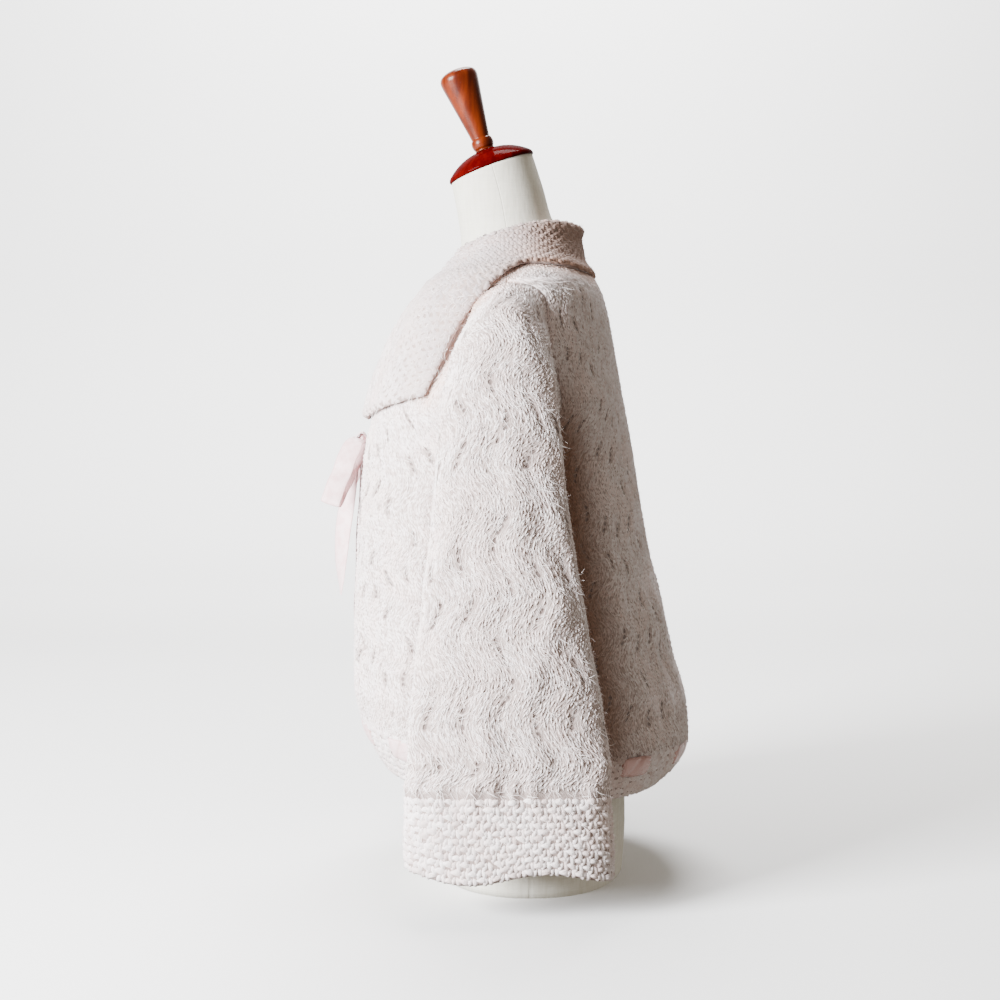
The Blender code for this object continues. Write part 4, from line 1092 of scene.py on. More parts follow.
def knit_panel(name, face, hand, lines, creases, fuzz):
    """One panel with its ribs, gathers and creases, its stitches, and the hairs brushed out of it."""
    levels, angles, plain, normals, across, along, ribs = panel(face, lines)
    hold_seams(levels, plain, normals, -1, 1, face == "front")
    if face == "back":
        hold_seams(levels, plain, normals, 0, -1, False)
    else:
        edge = normals[:, 0]
        edge[:, 0] = 0
        normals[:, 0] = unit(edge)
    level = levels[:, None]
    shares = np.linspace(0, 1, lines)[None, :]
    width = np.linalg.norm(np.diff(plain, axis=1), axis=-1).sum(axis=1)[:, None]
    place = (shares - (0.5 if face == "back" else 0)) * width
    reach = collar_reach(angles)
    under = soft_step(reach - 0.016, reach - 0.002, level)
    ribbed = soft_step(0.144, 0.170, level) * (1 - under)
    to_seam = np.minimum(shares, 1 - shares) if face == "back" else 1 - shares
    seam = np.clip(to_seam / 0.03, 0, 1)
    gather = np.sin(place / 0.0068 + 1.1 * np.sin(place / 0.031)) * 0.5 + np.sin(place / 0.0112 + 2.0) * 0.5
    gather = gather * bell(level - 0.146, 0.030) * 0.0016
    fold = creases_on(place, np.broadcast_to(level, place.shape), creases) * (1 - soft_step(0.48, 0.56, level))
    fold = (fold + gather) * seam
    lip = 1 - soft_step(0.001, 0.0035, level - HEM) * (soft_step(0.0, 0.0035, place) if face == "front" else 1)
    height = (0.0006 + 0.0010 * rib_height(across)) * ribbed - 0.0016 * lip - 0.0004
    mirror = np.array([hand, 1, 1])
    inner = ((plain + normals * (fold - KNIT_WALL)[..., None]) * mirror)[::4, ::4]
    outer = (plain + normals * (height + fold)[..., None]) * mirror
    # Painted shade: brown beside the sleeve, where the body lies in the arm's shade, and a painted shadow line just
    # under the collar's edge. glow is painted peach light beside that edge. On the hem band the pits are painted dark
    # as shade and the yarn a little darker.
    under_arm = soft_step(47, 68, np.abs(angles)) * (1 - soft_step(104, 118, np.abs(angles)))
    shade = under_arm * soft_step(0.09, 0.16, level) * (1 - soft_step(0.44, 0.56, level)) * 0.92
    near = near_collar(plain)
    shade = shade + (1 - shade) * 0.55 * bell(near, 0.0042)
    glow = bell(near, 0.0140) * 0.9
    band = 1 - soft_step(0.134, 0.142, level)
    bare = 1 - soft_step(HEM + 0.012, HEM + 0.022, level)
    if face == "front":
        bare = np.maximum(bare, 1 - soft_step(0.003, 0.014, place))
    marks = marked(place.shape, pit=band * 0.7, lace=ribbed * seam, shade=shade, glow=glow, bare=bare, dim=band * 0.14)
    cloth = Cloth(outer, faced(outer, normals * mirror), across, along, ribs, False, marks)
    rows = np.arange(len(levels))
    run = run_of(plain)
    courses = np.interp(np.arange(np.interp(FIRST_COURSE, levels, run), run[-1] - 0.006, COURSE), run, rows)
    seen = level < reach + 0.010
    hem_rows = np.interp(HEM + EDGE_GAP + MOSS_ROW * np.arange(7), levels, rows)
    columns = int(width[20, 0] / MOSS_COLUMN)
    hem_lines = (np.arange(columns) + 0.5) / columns * (lines - 1)
    moss = moss_stitches(cloth, hem_rows, hem_lines, 0.0066)
    made = [knitted_wall(name, cloth, inner)]
    made.append(lay_strands(name + "_stitches", knit_stitches(cloth, courses, WALES, seen), *moss))
    made.append(brushed(name + "_hairs", cloth, fuzz, HAIR_LENGTH))
    return made, (float(width.max()), float(levels[-1] - levels[0]) * 1.02, grid_area(plain))


# %% [markdown]
# ## Sleeves
# A sleeve is a tube sewn into the armhole and pressed flat by its own weight. It could be a simulated tube
# of cloth, but a heavy knit hangs nearly still, so a table of flattened rings gives the same fall and can
# be measured.

# %% The sleeve's table
# columns: outer x, outer z, inner x, inner z, front y, back y, fold z, power
SLEEVE = np.array([
    (0.172, 0.596, 0.1590, 0.430, -0.052, 0.046, 0.500, 2.0),
    (0.189, 0.577, 0.1655, 0.411, -0.058, 0.046, 0.485, 2.1),
    (0.202, 0.548, 0.1700, 0.388, -0.063, 0.048, 0.462, 2.3),
    (0.212, 0.512, 0.1740, 0.362, -0.067, 0.050, 0.436, 2.4),
    (0.219, 0.474, 0.1765, 0.336, -0.070, 0.053, 0.405, 2.4),
    (0.225, 0.434, 0.1790, 0.310, -0.073, 0.057, 0.372, 2.4),
    (0.230, 0.393, 0.1815, 0.284, -0.076, 0.063, 0.338, 2.4),
    (0.234, 0.352, 0.1840, 0.258, -0.080, 0.069, 0.304, 2.4),
    (0.238, 0.311, 0.1865, 0.232, -0.084, 0.075, 0.271, 2.4),
    (0.241, 0.270, 0.1885, 0.206, -0.088, 0.081, 0.238, 2.4),
    (0.244, 0.229, 0.1900, 0.180, -0.091, 0.086, 0.205, 2.4),
    (0.247, 0.188, 0.1905, 0.156, -0.093, 0.091, 0.173, 2.4),
    (0.249, 0.148, 0.1900, 0.134, -0.096, 0.096, 0.141, 2.4),
    (0.250, 0.122, 0.1890, 0.113, -0.098, 0.098, 0.118, 2.4),
    (0.250, 0.093, 0.1880, 0.089, -0.099, 0.100, 0.091, 2.4),
    (0.251, 0.064, 0.1880, 0.062, -0.100, 0.102, 0.063, 2.4),
    (0.250, 0.036, 0.1885, 0.037, -0.099, 0.102, 0.036, 2.4),
])
SLEEVE_LINES, SLEEVE_ROWS, SLEEVE_RIBS = 145, 177, 12
CUFF_FROM, CUFF_CURL, CUFF_COLUMNS = 14.35, 0.0055, 58


def sleeve_ring(row, shares):
    """One flattened ring of evenly spaced points: a superellipse, slanted from its outer line to its inner
    line."""
    outer_x, outer_z, inner_x, inner_z, front, back, fold_z, power = row
    turn = np.radians(np.linspace(0, 360, 361))
    out = np.sign(np.cos(turn)) * np.abs(np.cos(turn)) ** (2 / power)
    side = np.sign(np.sin(turn)) * np.abs(np.sin(turn)) ** (2 / power)
    middle = (outer_z + inner_z) / 2
    x = (outer_x + inner_x) / 2 + (outer_x - inner_x) / 2 * out
    z = middle + (outer_z - inner_z) / 2 * out + (fold_z - middle) * (1 - np.abs(out))
    return spaced(np.stack([x, (back + front) / 2 + (back - front) / 2 * side, z], axis=-1), shares)


def armhole_rim(face, shares):
    """The armhole's edge on one face, from the shoulder down to the underarm, and the wall's way out from
    it."""
    levels = np.linspace(SHOULDER, UNDERARM, 41)
    angles = np.array([half_row(level, face)[-1] for level in levels])
    out = outward(body_surface, levels, angles)
    out[:, 0] = 0
    ways = np.stack([np.interp(shares, np.linspace(0, 1, 41), out[:, axis]) for axis in range(3)], axis=-1)
    return spaced(body_surface(levels, angles), shares), unit(ways)


SLEEVE_CREASES = [
    Crease(0.060, 0.020, 0.075, 0.180, 0.011, 0.0026, 0.006),
    Crease(0.095, 0.010, 0.100, 0.120, 0.009, -0.0022, -0.004),
    Crease(0.030, 0.200, 0.080, 0.300, 0.014, -0.0026, 0.008),
    Crease(0.070, 0.260, 0.020, 0.360, 0.014, 0.0026, -0.008),
    Crease(0.110, 0.300, 0.085, 0.440, 0.012, 0.0028, 0.006),
    Crease(0.045, 0.380, 0.050, 0.450, 0.010, -0.0026, 0.004),
    Crease(-0.060, 0.015, -0.072, 0.150, 0.011, 0.0024, -0.006),
    Crease(-0.100, 0.050, -0.095, 0.200, 0.012, -0.0024, 0.005),
    Crease(-0.030, 0.220, -0.085, 0.310, 0.013, -0.0022, 0.006),
    Crease(-0.020, 0.360, -0.035, 0.450, 0.012, 0.0026, 0.004),
    Crease(-0.090, 0.330, -0.075, 0.450, 0.011, 0.0028, -0.006),
    Crease(0.000, 0.110, 0.012, 0.260, 0.012, 0.0018, 0.006),
]


def knit_sleeve(name, hand, fuzz):
    """One sleeve with its ribs, creases and cuff, its stitches, and the hairs brushed out of it."""
    shares = np.linspace(0, 1, SLEEVE_LINES)
    half = np.linspace(0, 1, (SLEEVE_LINES + 1) // 2)
    (back, back_way), (front, front_way) = armhole_rim("back", half), armhole_rim("front", half)
    rim_line, rim_way = np.vstack([back, front[-2::-1]]), np.vstack([back_way, front_way[-2::-1]])
    rim_line[:, 0] = ARMHOLE_X + SEAM_GAP / 2
    rings = np.array([rim_line] + [sleeve_ring(row, shares) for row in SLEEVE])
    curl = CUFF_CURL * np.cos(np.radians(360 * 3 * shares) - 1.45)
    rings[-1, :, 2] += curl
    rings[-2, :, 2] += curl * 0.5
    drop = run_of(rings)
    number = np.interp(np.linspace(0, drop[-1], SLEEVE_ROWS), drop, np.arange(len(rings)))
    plain = through(np.arange(len(rings)), rings, number)
    down = np.linspace(0, drop[-1], SLEEVE_ROWS)[:, None]
    step, turn = np.gradient(plain, axis=0), np.gradient(plain, axis=1)
    turn[:, 0] = turn[:, -1] = (plain[:, 1] - plain[:, -2]) / 2
    normals = np.cross(step, turn)
    away = plain - plain[:, :-1].mean(axis=1, keepdims=True)
    normals = unit(normals * np.sign(np.sum(normals * away, axis=-1, keepdims=True)))
    ease = soft_step(0.0, 0.9, number)[:, None, None]
    normals = unit(rim_way[None] * (1 - ease) + normals * ease)
    row = number[:, None]
    ribbed = soft_step(0.25, 1.0, row) * (1 - soft_step(CUFF_FROM - 0.5, CUFF_FROM, row))
    across = shares[None, :] * SLEEVE_RIBS - RIB_SWAY * swing(row) * ribbed
    along = np.broadcast_to(row, across.shape)
    girth = np.linalg.norm(np.diff(plain, axis=1), axis=-1).sum(axis=1)[:, None]
    place = (shares[None, :] - np.round(shares[None, :])) * girth
    folds = creases_on(place, np.broadcast_to(down, place.shape), SLEEVE_CREASES) * soft_step(0.004, 0.03, down)
    folds = folds * (1 - soft_step(drop[-1] - 0.085, drop[-1] - 0.05, down))
    pucker = 0.0013 * np.sin(np.pi * 2 * 19 * shares[None, :] + 1.4 * np.sin(np.pi * 8 * shares[None, :]))
    folds = folds + pucker * bell(row - CUFF_FROM + 0.3, 0.55)
    cuff = soft_step(CUFF_FROM - 0.4, CUFF_FROM, row)
    start = np.interp(CUFF_FROM - 0.2, np.arange(len(drop)), drop)
    lip = soft_step(0.0, 0.0035, drop[-1] - down)
    height = (0.0006 + 0.0010 * rib_height(across)) * ribbed - 0.0016 * (1 - lip) - 0.0004
    mirror = np.array([hand, 1, 1])
    inner = ((plain + normals * (folds - KNIT_WALL)[..., None]) * mirror)[::4, ::4]
    outer = (plain + normals * (height + folds)[..., None]) * mirror
    outer[:, -1], inner[:, -1] = outer[:, 0], inner[:, 0]
    # Painted shade: a painted shadow line under the collar's edge and painted shade on the sleeve's inner side, toward
    # the body. glow is painted peach light by the collar's edge. On the cuff the pits are painted dark as shade and
    # the yarn a little darker.
    near = near_collar(plain)
    inside = soft_step(0.30, 0.36, shares) * (1 - soft_step(0.64, 0.70, shares))
    shade = 0.5 * bell(near, 0.0042) + 0.25 * inside[None, :] * soft_step(0.03, 0.10, down)
    bare = soft_step(drop[-1] - 0.040, drop[-1] - 0.018, down)
    glow = bell(near, 0.014) * 0.9
    marks = marked(across.shape, pit=cuff * 0.8, lace=ribbed, shade=shade, glow=glow, bare=bare, dim=cuff * 0.10)
    out = faced(outer, normals * mirror)
    out[:, 0] = out[:, -1] = unit(out[:, 1] + out[:, -2])
    cloth = Cloth(outer, out, across, along, SLEEVE_RIBS, True, marks)
    rows = np.arange(SLEEVE_ROWS)
    courses = np.interp(np.arange(start - 0.002, 0.004, -COURSE), down[:, 0], rows)
    made = [knitted_wall(name, cloth, inner)]
    seen = np.ones(across.shape, bool)
    cuff_rows = np.interp(np.arange(drop[-1] - EDGE_GAP, start + 0.002, -MOSS_ROW)[::-1], down[:, 0], rows)
    cuff_lines = (np.arange(CUFF_COLUMNS) + 0.5) / CUFF_COLUMNS * (SLEEVE_LINES - 1)
    moss = moss_stitches(cloth, cuff_rows, cuff_lines, 0.0068)
    made.append(lay_strands(name + "_stitches", knit_stitches(cloth, courses, WALES, seen), *moss))
    made.append(brushed(name + "_hairs", cloth, fuzz, HAIR_LENGTH))
    return made, (float(girth.max()), float(drop[-1]), grid_area(plain))


# %% [markdown]
# ## The collar in moss stitch
# The collar is one band from the right front end round the neck to the left front end, and its stitches lie
# along it. It is knitted a little tighter than the rest, so its pits are closer. Its yarn is painted greyer
# than the brushed cloth and darker towards the back, as painted shade.


# %% Knit the collar
COLLAR_COLUMNS = 19


def knit_collar(name, fuzz, stations=161, steps=41):
    """The whole collar: the left half's lines, mirrored, with moss stitch on the side that shows."""
    left = np.array([collar_line(share, steps) for share in np.linspace(0, 1, stations)])
    left = np.array([spaced(line, np.linspace(0, 1, steps)) for line in left])
    middle = np.concatenate([left[:0:-1] * [-1, 1, 1], left])
    middle[stations - 1, :, 0] = 0
    normals = unit(np.cross(np.gradient(middle, axis=1), np.gradient(middle, axis=0)))
    away = (middle - [0, -0.01, 0.5])[:, steps // 2]
    normals = normals * np.sign(np.sum(normals[:, steps // 2] * away))
    width = np.linalg.norm(np.diff(middle, axis=1), axis=-1).sum(axis=1)[:, None]
    run = run_of(middle[:, steps // 2])[:, None]
    down = np.linspace(0, 1, steps)[None, :] * width
    edge = np.minimum(np.minimum(down, width - down), np.minimum(run, run[-1] - run))
    round_over = np.sqrt(np.clip(1 - (1 - np.clip(edge / 0.004, 0, 1)) ** 2, 0, 1))
    ends = soft_step(0.0, 0.02, run) * soft_step(0.0, 0.02, run[-1] - run)
    sag = 0.0014 * np.sin(run / 0.031 + 1.5 * np.sin(run / 0.09)) * soft_step(0.02, 0.06, down) * ends
    outer = middle + normals * (sag + (COLLAR_WALL / 2) * (0.1 + 0.75 * round_over))[..., None]
    inner = (middle - normals * COLLAR_WALL / 2)[::4, ::4]
    # Painted shade: dim paints the yarn greyer, more towards the back; shade is a painted shadow along the outer edge
    # and more painted shade towards the back; pit paints the pits dark as shade. glow here is a wavy peach tone.
    dim = 0.34 + 0.48 * soft_step(-0.14, -0.04, middle[..., 1])
    blotch = 0.5 + 0.5 * np.sin(run / 0.017 + 2.2 * np.sin(down / 0.013))
    shade = 0.30 * bell(width - down, 0.0035) + 0.58 * soft_step(-0.03, 0.05, middle[..., 1])
    marks = marked(down.shape, pit=0.55, lace=0, shade=shade, glow=0.12 * blotch, bare=0.3, dim=dim)
    along = np.broadcast_to(run / 0.028, down.shape)
    cloth = Cloth(outer, faced(outer, normals), down / 0.026, along, 4, False, marks)
    rows = np.interp(np.arange(0.004, float(run[-1, 0]) - 0.003, 0.0066), run[:, 0], np.arange(len(middle)))
    lines = (np.arange(COLLAR_COLUMNS) + 0.5) / COLLAR_COLUMNS * (steps - 1)
    moss = moss_stitches(cloth, rows, lines, 0.0055, False)
    made = [knitted_wall(name, cloth, inner), lay_strands(name + "_stitches", *moss)]
    made.append(brushed(name + "_hairs", cloth, fuzz, 0.0080))
    return made, (float(run[-1, 0]), float(width.max()), grid_area(middle))


# %% Make the knitted pieces
cloth = {}
cloth["knit_back"] = knit_panel("knit_back", "back", 1, 169, BACK_CREASES, 15000)
cloth["knit_front_left"] = knit_panel("knit_front_left", "front", 1, 85, FRONT_CREASES, 5000)
cloth["knit_front_right"] = knit_panel("knit_front_right", "front", -1, 85, FRONT_CREASES, 5000)
cloth["knit_sleeve_left"] = knit_sleeve("knit_sleeve_left", 1, 7000)
cloth["knit_sleeve_right"] = knit_sleeve("knit_sleeve_right", -1, 7000)
cloth["knit_collar"] = knit_collar("knit_collar", 4000)
for name, (made, size) in cloth.items():
    for piece in made:
        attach(piece, "root")
    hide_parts(name.replace("knit_", ""))

# %% [markdown]
# ## Satin ribbon
# Satin shows long floats of silk on its face, so it is bright along one way and soft across it. The ribbon
# is a thin strip with a woven edge. It is carried along a path with its own way across at each point, and
# cupped a little, so that it catches the light as real ribbon does.


# %% Satin finish
def satin_finish():
    """Blush satin: fine floats across the ribbon, a firmer woven edge and soft crush marks."""
    satin = Finish("blush_satin", roughness=0.36, sheen_weight=0.35, sheen_roughness=0.3, sheen_tint=(1, 0.9, 0.9, 1))
    satin.shader.inputs["Specular IOR Level"].default_value = 0.4
    across, along = satin.parts(satin.stitches())
    floats = satin.noise(satin.stretched(satin.stitches(), (3.0, 9000.0, 1.0)), 1.0, 1.0)
    crush = satin.noise(satin.place(), 120.0, 2.0)
    edge = abs(across - 0.5).step(0.44, 0.47)
    colour = satin.mix(crush.step(0.35, 0.7), (0.84, 0.635, 0.64), (0.76, 0.51, 0.515))
    colour = satin.mix(edge * 0.5, colour, (0.66, 0.40, 0.405))
    # Painted shade on the hem ribbon: dark round the back, at the ends where it tucks into its slits, and along its
    # crease.
    colour = satin.mix(satin.told("shade"), colour, (0.38, 0.205, 0.17))
    return satin.finished(colour, floats * 0.25 + crush * 1.2 + edge * 0.8, 0.0005, floats * 0.15 + 0.30)


SATIN = satin_finish()


def ribbon_strip(name, middle, across, widths, thick=0.0007, cup=0.0, closed=False):
    """A ribbon: at each point of the path a flat section with rounded edges, bowed by cup * (1 - u^2). A
    closed path joins its last section to its first. Gives the piece, and its flat width, length and area."""
    middle, widths = np.asarray(middle, float), np.asarray(widths, float)[:, None]
    if closed:
        tangent = unit(np.roll(middle, -1, axis=0) - np.roll(middle, 1, axis=0))
    else:
        tangent = unit(np.gradient(middle, axis=0))
    across = unit(across - tangent * np.sum(across * tangent, axis=-1, keepdims=True))
    up = unit(np.cross(tangent, across))
    u = np.concatenate([np.linspace(-1, 1, 11), np.linspace(1, -1, 11)])
    v = np.concatenate([np.full(11, 1.0), np.full(11, -1.0)]) * np.where(np.abs(u) > 0.99, 0.35, 1.0)
    rise = v * thick / 2 + cup * (1 - u**2)
    grid = middle[:, None] + across[:, None] * (u[None, :] * widths / 2)[..., None]
    grid = grid + up[:, None] * rise[None, :, None]
    run = run_of(middle)
    index = np.arange(len(middle) * 22).reshape(-1, 22)
    places = np.stack(np.broadcast_arrays((u[None, :] + 1) / 2, run[:, None]), axis=-1)
    looped = np.hstack([index, index[:, :1]])
    if closed:
        looped = np.vstack([looped, looped[:1]])
    faces = [cells(looped)]
    if not closed:
        for row, flip in ((index[0], 1), (index[-1], -1)):
            top, foot = row[:11], row[11:][::-1]
            faces.append(np.stack([top[:-1], top[1:], foot[1:], foot[:-1]], axis=-1)[:, ::flip])
    flat = places.reshape(-1, 2)
    piece = put_mesh(name, grid.reshape(-1, 3), faces, SATIN, [flat[f] for f in faces])
    if closed:
        run = np.append(run, run[-1] + np.linalg.norm(middle[0] - middle[-1]))
        widths = np.vstack([widths, widths[:1]])
    area = np.sum(np.diff(run) * (widths[1:, 0] + widths[:-1, 0]) / 2)
    return piece, (float(widths.max()), float(run[-1]), float(area))


# %% [markdown]
# ## The bow
# The ties meet at the chest in a bow. Its near loop droops forward, one tail hangs free and turns edge-on,
# and the other lies down the right front. The knot is a short band drawn tight round the middle, over a
# small core of gathered ribbon that keeps it from looking hollow from the side.

# %% Bow loops and knot
KNOT_CENTRE = np.array([0.0, -0.1565, 0.4445])
LOOP_START = np.array([0.0106, -0.1572, 0.4475])
LOOP_REACH = np.array([0.046, -0.028, -0.066])
LOOP_ACROSS = np.array([0.007, 0.020, -0.0058])
LOOP_PATH = np.array([
    (0.00, 0.0012), (0.05, 0.0080), (0.14, 0.0130), (0.28, 0.0140), (0.46, 0.0120), (0.66, 0.0090),
    (0.86, 0.0075), (0.97, 0.0050), (1.00, 0.0020), (0.97, -0.0010), (0.86, -0.0022), (0.60, -0.0030),
    (0.34, -0.0036), (0.12, -0.0026), (0.02, -0.0010),
])
WIDE = 0.022


def bow_loop(name, hand):
    """A closed band: shares of the reach and heights off it, smoothed round the loop by the curve through
    its points."""
    across = unit(LOOP_ACROSS)
    lift = unit(np.cross(across, LOOP_REACH))
    lift = lift * np.sign(lift[0])
    wrapped = np.vstack([LOOP_PATH, LOOP_PATH[:1]])
    places = np.linspace(0, len(LOOP_PATH), 91)[:-1]
    share, height = (through(np.arange(len(wrapped)), wrapped[:, c], places) for c in (0, 1))
    ripple = 0.0009 * np.sin(share * 19) * soft_step(0.1, 0.4, share)
    middle = LOOP_START + LOOP_REACH * share[:, None] + lift * (height + ripple)[:, None]
    widths = WIDE * (0.70 + 0.30 * soft_step(0.0, 0.25, share))
    mirror = np.array([hand, 1, 1])
    ways = np.broadcast_to(across * mirror, middle.shape)
    return ribbon_strip(name, middle * mirror, ways, widths, cup=0.0008, closed=True)


def knot_band(name):
    """A band wound once round the bow's middle: an ellipse seen from the side, with creases across it."""
    turn = np.radians(np.arange(0, 360, 6))
    swell = 1 + 0.05 * np.sin(turn * 5 + 0.6)
    ellipse = np.stack([0 * turn, 0.0062 * np.cos(turn) * swell, 0.0108 * np.sin(turn) * swell], axis=-1)
    ways = np.broadcast_to([1.0, 0, 0], ellipse.shape)
    widths = 0.0175 + 0.0022 * np.cos(turn * 2)
    return ribbon_strip(name, KNOT_CENTRE + ellipse, ways, widths, cup=0.0012, closed=True)


def knot_core(name):
    """What the band is drawn round: the gathered ties, a small ellipsoid whose radius swells by 6% in five
    pleats."""
    steps = np.linspace(-78, 78, 15), np.arange(0, 360, 10)
    across, turn = (np.radians(v) for v in np.meshgrid(*steps, indexing="ij"))
    radius = np.cos(across) * (1 + 0.06 * np.sin(turn * 5 + across * 2))
    ball = np.stack([
        0.0078 * np.sin(across),
        0.0056 * np.cos(turn) * radius,
        0.0100 * np.sin(turn) * radius,
    ], axis=-1)
    points = np.vstack([ball.reshape(-1, 3), ball[0].mean(axis=0), ball[-1].mean(axis=0)]) + KNOT_CENTRE
    flat = np.vstack([np.stack([across / 3 + 0.5, turn * 0.01], axis=-1).reshape(-1, 2), [(0, 0), (1, 0)]])
    faces = tube_faces(*across.shape)
    return put_mesh(name, points, faces, SATIN, [flat[f] for f in faces])


# columns: x, y, z, turn of the width from the front toward the side
FREE_TAIL = np.array([
    (0.004, -0.1575, 0.4330, 10),
    (0.009, -0.1620, 0.4180, 25),
    (0.015, -0.1675, 0.3980, 45),
    (0.019, -0.1735, 0.3680, 55),
    (0.021, -0.1770, 0.3380, 48), (0.020, -0.1785, 0.3080, 30), (0.018, -0.1785, 0.2840, 8),
])
# columns: level, x, lift off the cloth
LYING_TAIL = np.array([
    (0.4312, -0.006, 0.0022),
    (0.410, -0.012, 0.0012),
    (0.375, -0.015, 0.0),
    (0.335, -0.017, 0.0),
    (0.290, -0.018, 0.0),
    (0.255, -0.019, 0.0), (0.227, -0.020, 0.0),
])


def free_tail(name):
    """The tail that hangs in front and twists: its way across turns from the front toward the side."""
    places = np.linspace(0, len(FREE_TAIL) - 1, 70)
    x, y, z, turn = (through(np.arange(len(FREE_TAIL)), FREE_TAIL[:, c], places) for c in range(4))
    angle = np.radians(turn)
    across = np.stack([np.cos(angle), np.sin(angle), 0 * angle], axis=-1)
    widths = WIDE * (0.5 + 0.5 * soft_step(0, 3, places))
    return ribbon_strip(name, np.stack([x, y, z], axis=-1), across, widths, cup=0.0010)


def lying_tail(name):
    """The tail that lies on the right front: points of the cloth's own surface, moved out past the ribs."""
    places = np.linspace(0, len(LYING_TAIL) - 1, 70)
    level, x, lift = (through(np.arange(len(LYING_TAIL)), LYING_TAIL[:, c], places) for c in range(3))
    turns = np.linspace(180, 150, 241)
    middle, across = [], []
    for row_level, row_x, row_lift in zip(level, x, lift):
        line = body_surface(row_level, turns)
        angle = np.sign(-row_x) * (180 - np.interp(abs(row_x), line[:, 0], turns))
        out = outward(body_surface, row_level, 180 + angle)
        middle.append(body_surface(row_level, 180 + angle) + out * (SEAM_GAP + RIB_RELIEF + 0.0009 + row_lift))
        across.append(np.cross(out, (0, 0, 1)))
    wave = -0.0006 * np.sin(np.linspace(0, 17, 70)) * soft_step(0, 1, places)
    middle = np.array(middle) + wave[:, None] * [0, 1, 0]
    widths = WIDE * (0.5 + 0.5 * soft_step(0, 3, places))
    return ribbon_strip(name, middle, np.array(across), widths)


bow = {
    "bow_loop_near": (*bow_loop("bow_loop_near", 1), "bow_loop_left"),
    "bow_loop_far": (*bow_loop("bow_loop_far", -1), "bow_loop_right"),
    "bow_knot_band": (*knot_band("bow_knot_band"), "bow_knot"),
    "tail_free": (*free_tail("tail_free"), "ribbon_tail_free"),
    "tail_lying": (*lying_tail("tail_lying"), "ribbon_tail_lying"),
}

# %% [markdown]
# ## The drawn hem ribbon
# One ribbon runs in and out of a row of holes above the hem and draws it in. Only the stretches that pass
# outside are seen. Each is a patch of the knitted surface itself, creases and all, moved out by less than a
# millimetre.


# %% Hem ribbon
STRETCH, HEM_RADIUS, STRETCH_LEVEL = 0.040, 0.172, 0.123
SHOWN_WIDTH = WIDE * 0.92
PATCH_ROWS, PATCH_LINES = 9, 25


def hem_stretch(angle):
    """One stretch, centred at this angle: the upper and lower grids of a patch, and the painted shade at each point.
    With u along it and v across it, both from -1 to 1, its half width is pinched to 0.62 + 0.38 sqrt(1 -
    u^4), it swells by cos(1.5 v)(1 - u^4), sinks at both ends, and has one slanting crease."""
    u = np.linspace(-1, 1, PATCH_LINES)[None, :]
    v = np.linspace(-1, 1, PATCH_ROWS)[:, None]
    turn = angle + u * math.degrees(STRETCH / 2 / HEM_RADIUS)
    turn = np.broadcast_to(turn, (PATCH_ROWS, PATCH_LINES))
    level = STRETCH_LEVEL + v * SHOWN_WIDTH / 2 * (0.62 + 0.38 * np.sqrt(1 - u**4))
    seat, out = body_surface(level, turn), outward(body_surface, level, turn)
    dip = 0.0022 * (1 - soft_step(0, 0.16, 1 - np.abs(u)))
    crease = bell(u * 0.9 + v * 0.35 - 0.15, 0.13) * (1 - u**2)
    bulge = 0.0014 * np.cos(v * 1.5) * (1 - u**4) + 0.0014 - dip - 0.0011 * crease
    # Painted shade: the stretches round the back are dark as shade, and so are their ends, where they tuck into the
    # slits, and their crease.
    shaded_back = 1 - soft_step(80, 110, abs(angle))
    slit = soft_step(0.80, 0.97, np.abs(u)) * 0.9
    dark = shaded_back + (1 - shaded_back) * np.maximum(slit, soft_step(0.25, 1.0, crease) * 0.35)
    return seat + out * (bulge + 0.0006)[..., None], seat + out * bulge[..., None], dark


def hem_ribbon(name):
    """Twelve stretches in one mesh: each is two grids and a wall round their rims."""
    size = PATCH_ROWS * PATCH_LINES
    top = np.arange(size).reshape(PATCH_ROWS, PATCH_LINES)
    ring = np.concatenate([top[0, :-1], top[:-1, -1], top[-1, :0:-1], top[:0:-1, 0]])
    ring = np.append(ring, ring[0])
    wall = np.stack([ring[1:], ring[:-1], ring[:-1] + size, ring[1:] + size], axis=-1)
    patch = [cells(top), cells(top + size)[:, ::-1], wall]
    v, u = np.meshgrid(np.linspace(0, 1, PATCH_ROWS), np.linspace(0, STRETCH, PATCH_LINES), indexing="ij")
    local = np.stack([v, u], axis=-1).reshape(-1, 2)
    points, faces, places, shades = [], [], [], []
    for angle in [a * s for a in STRETCHES for s in (1, -1)]:
        over, under, dark = hem_stretch(angle)
        start = 2 * size * len(faces) // len(patch)
        faces += [corners + start for corners in patch]
        points += [over.reshape(-1, 3), under.reshape(-1, 3)]
        places += [local, local]
        shades += [dark.ravel(), dark.ravel()]
    flat = np.vstack(places)
    marks = {"shade": np.concatenate(shades)}
    return put_mesh(name, np.vstack(points), faces, SATIN, [flat[f] for f in faces], marks)


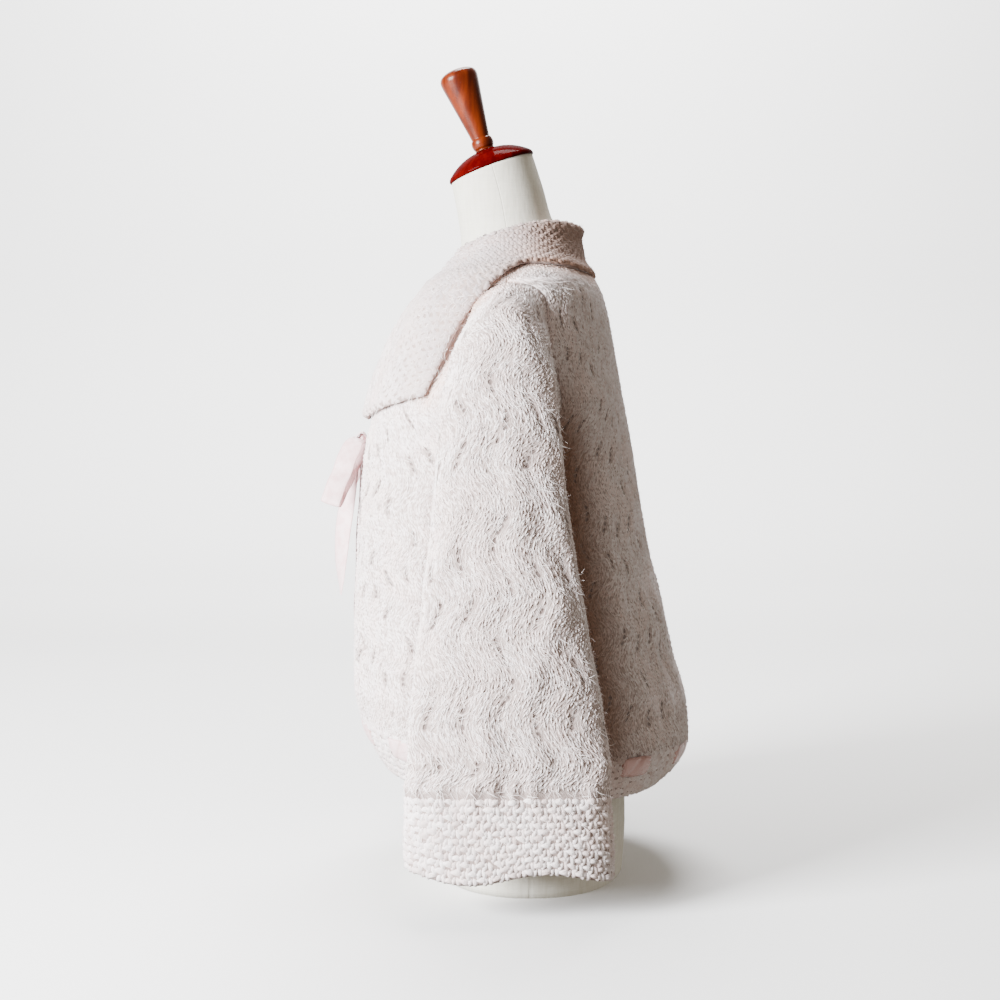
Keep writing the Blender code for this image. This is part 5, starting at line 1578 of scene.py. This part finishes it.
hem = hem_ribbon("hem_ribbon")
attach(hem, "root")
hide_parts(*[f"hem_ribbon_{side}_{k}" for side in ("left", "right") for k in range(1, 7)])
core = knot_core("bow_knot_core")
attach(core, "root")
for piece, size, node in bow.values():
    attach(piece, "root")
    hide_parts(node)

# %% [markdown]
# ## What each cloth was cut to
# A knitted panel is made to size rather than cut, but it still has a flat size: its widest row, its length,
# and its area off the form. These come from the plain grids, before any stitch was raised.

# %% Flat sizes
FRONTS = ["knit_front_left", "knit_front_right"]
KNITTED = ["knit_back", *FRONTS]
for name, (made, (width, length, area)) in cloth.items():
    held = "folded" if name == "knit_collar" else "hung"
    rests = KNITTED if name == "knit_collar" else ["linen_form"]
    size = (width, max(length, area / width))
    min(area, size[0] * size[1])
    print(name, [round(v, 3) for v in size], round(area, 4))
for name, (piece, (width, length, area), node) in bow.items():
    held = "folded" if node.startswith("bow") else "hung"
    rests = {"tail_lying": ["knit_front_right"], "tail_free": ["bow_knot_band"]}.get(name, FRONTS)
    riders = [core] if name == "bow_knot_band" else []
    print(name, round(width, 3), round(length, 3))

# %% [markdown]
# ## The floor
# A plain pale floor runs back into a plain pale wall, as in a small studio, so that nothing but the garment
# has an edge.

# %% Floor
paint = Finish("studio_floor", roughness=0.8)
paint.finished(paint.mix(paint.noise(paint.place(), 3.0), (0.90, 0.90, 0.90), (0.92, 0.92, 0.92)))
sweep = np.array([(6.0, 0.0), (-1.5, 0.0), (-2.1, 0.08), (-2.5, 0.35), (-2.7, 0.8), (-2.75, 1.5), (-2.75, 4.5)])
run = np.linspace(0, len(sweep) - 1, 49)
x, z = (through(np.arange(len(sweep)), sweep[:, c], run) for c in (0, 1))
y = np.linspace(-5, 5, 5)
ground = np.stack(np.broadcast_arrays(x[:, None], y[None, :], z[:, None] - LIFT), axis=-1)
boards = cells(np.arange(len(x) * len(y)).reshape(len(x), len(y)))
floor = put_mesh("studio_floor", ground.reshape(-1, 3), [boards], paint.material)
floor.visible_diffuse = False
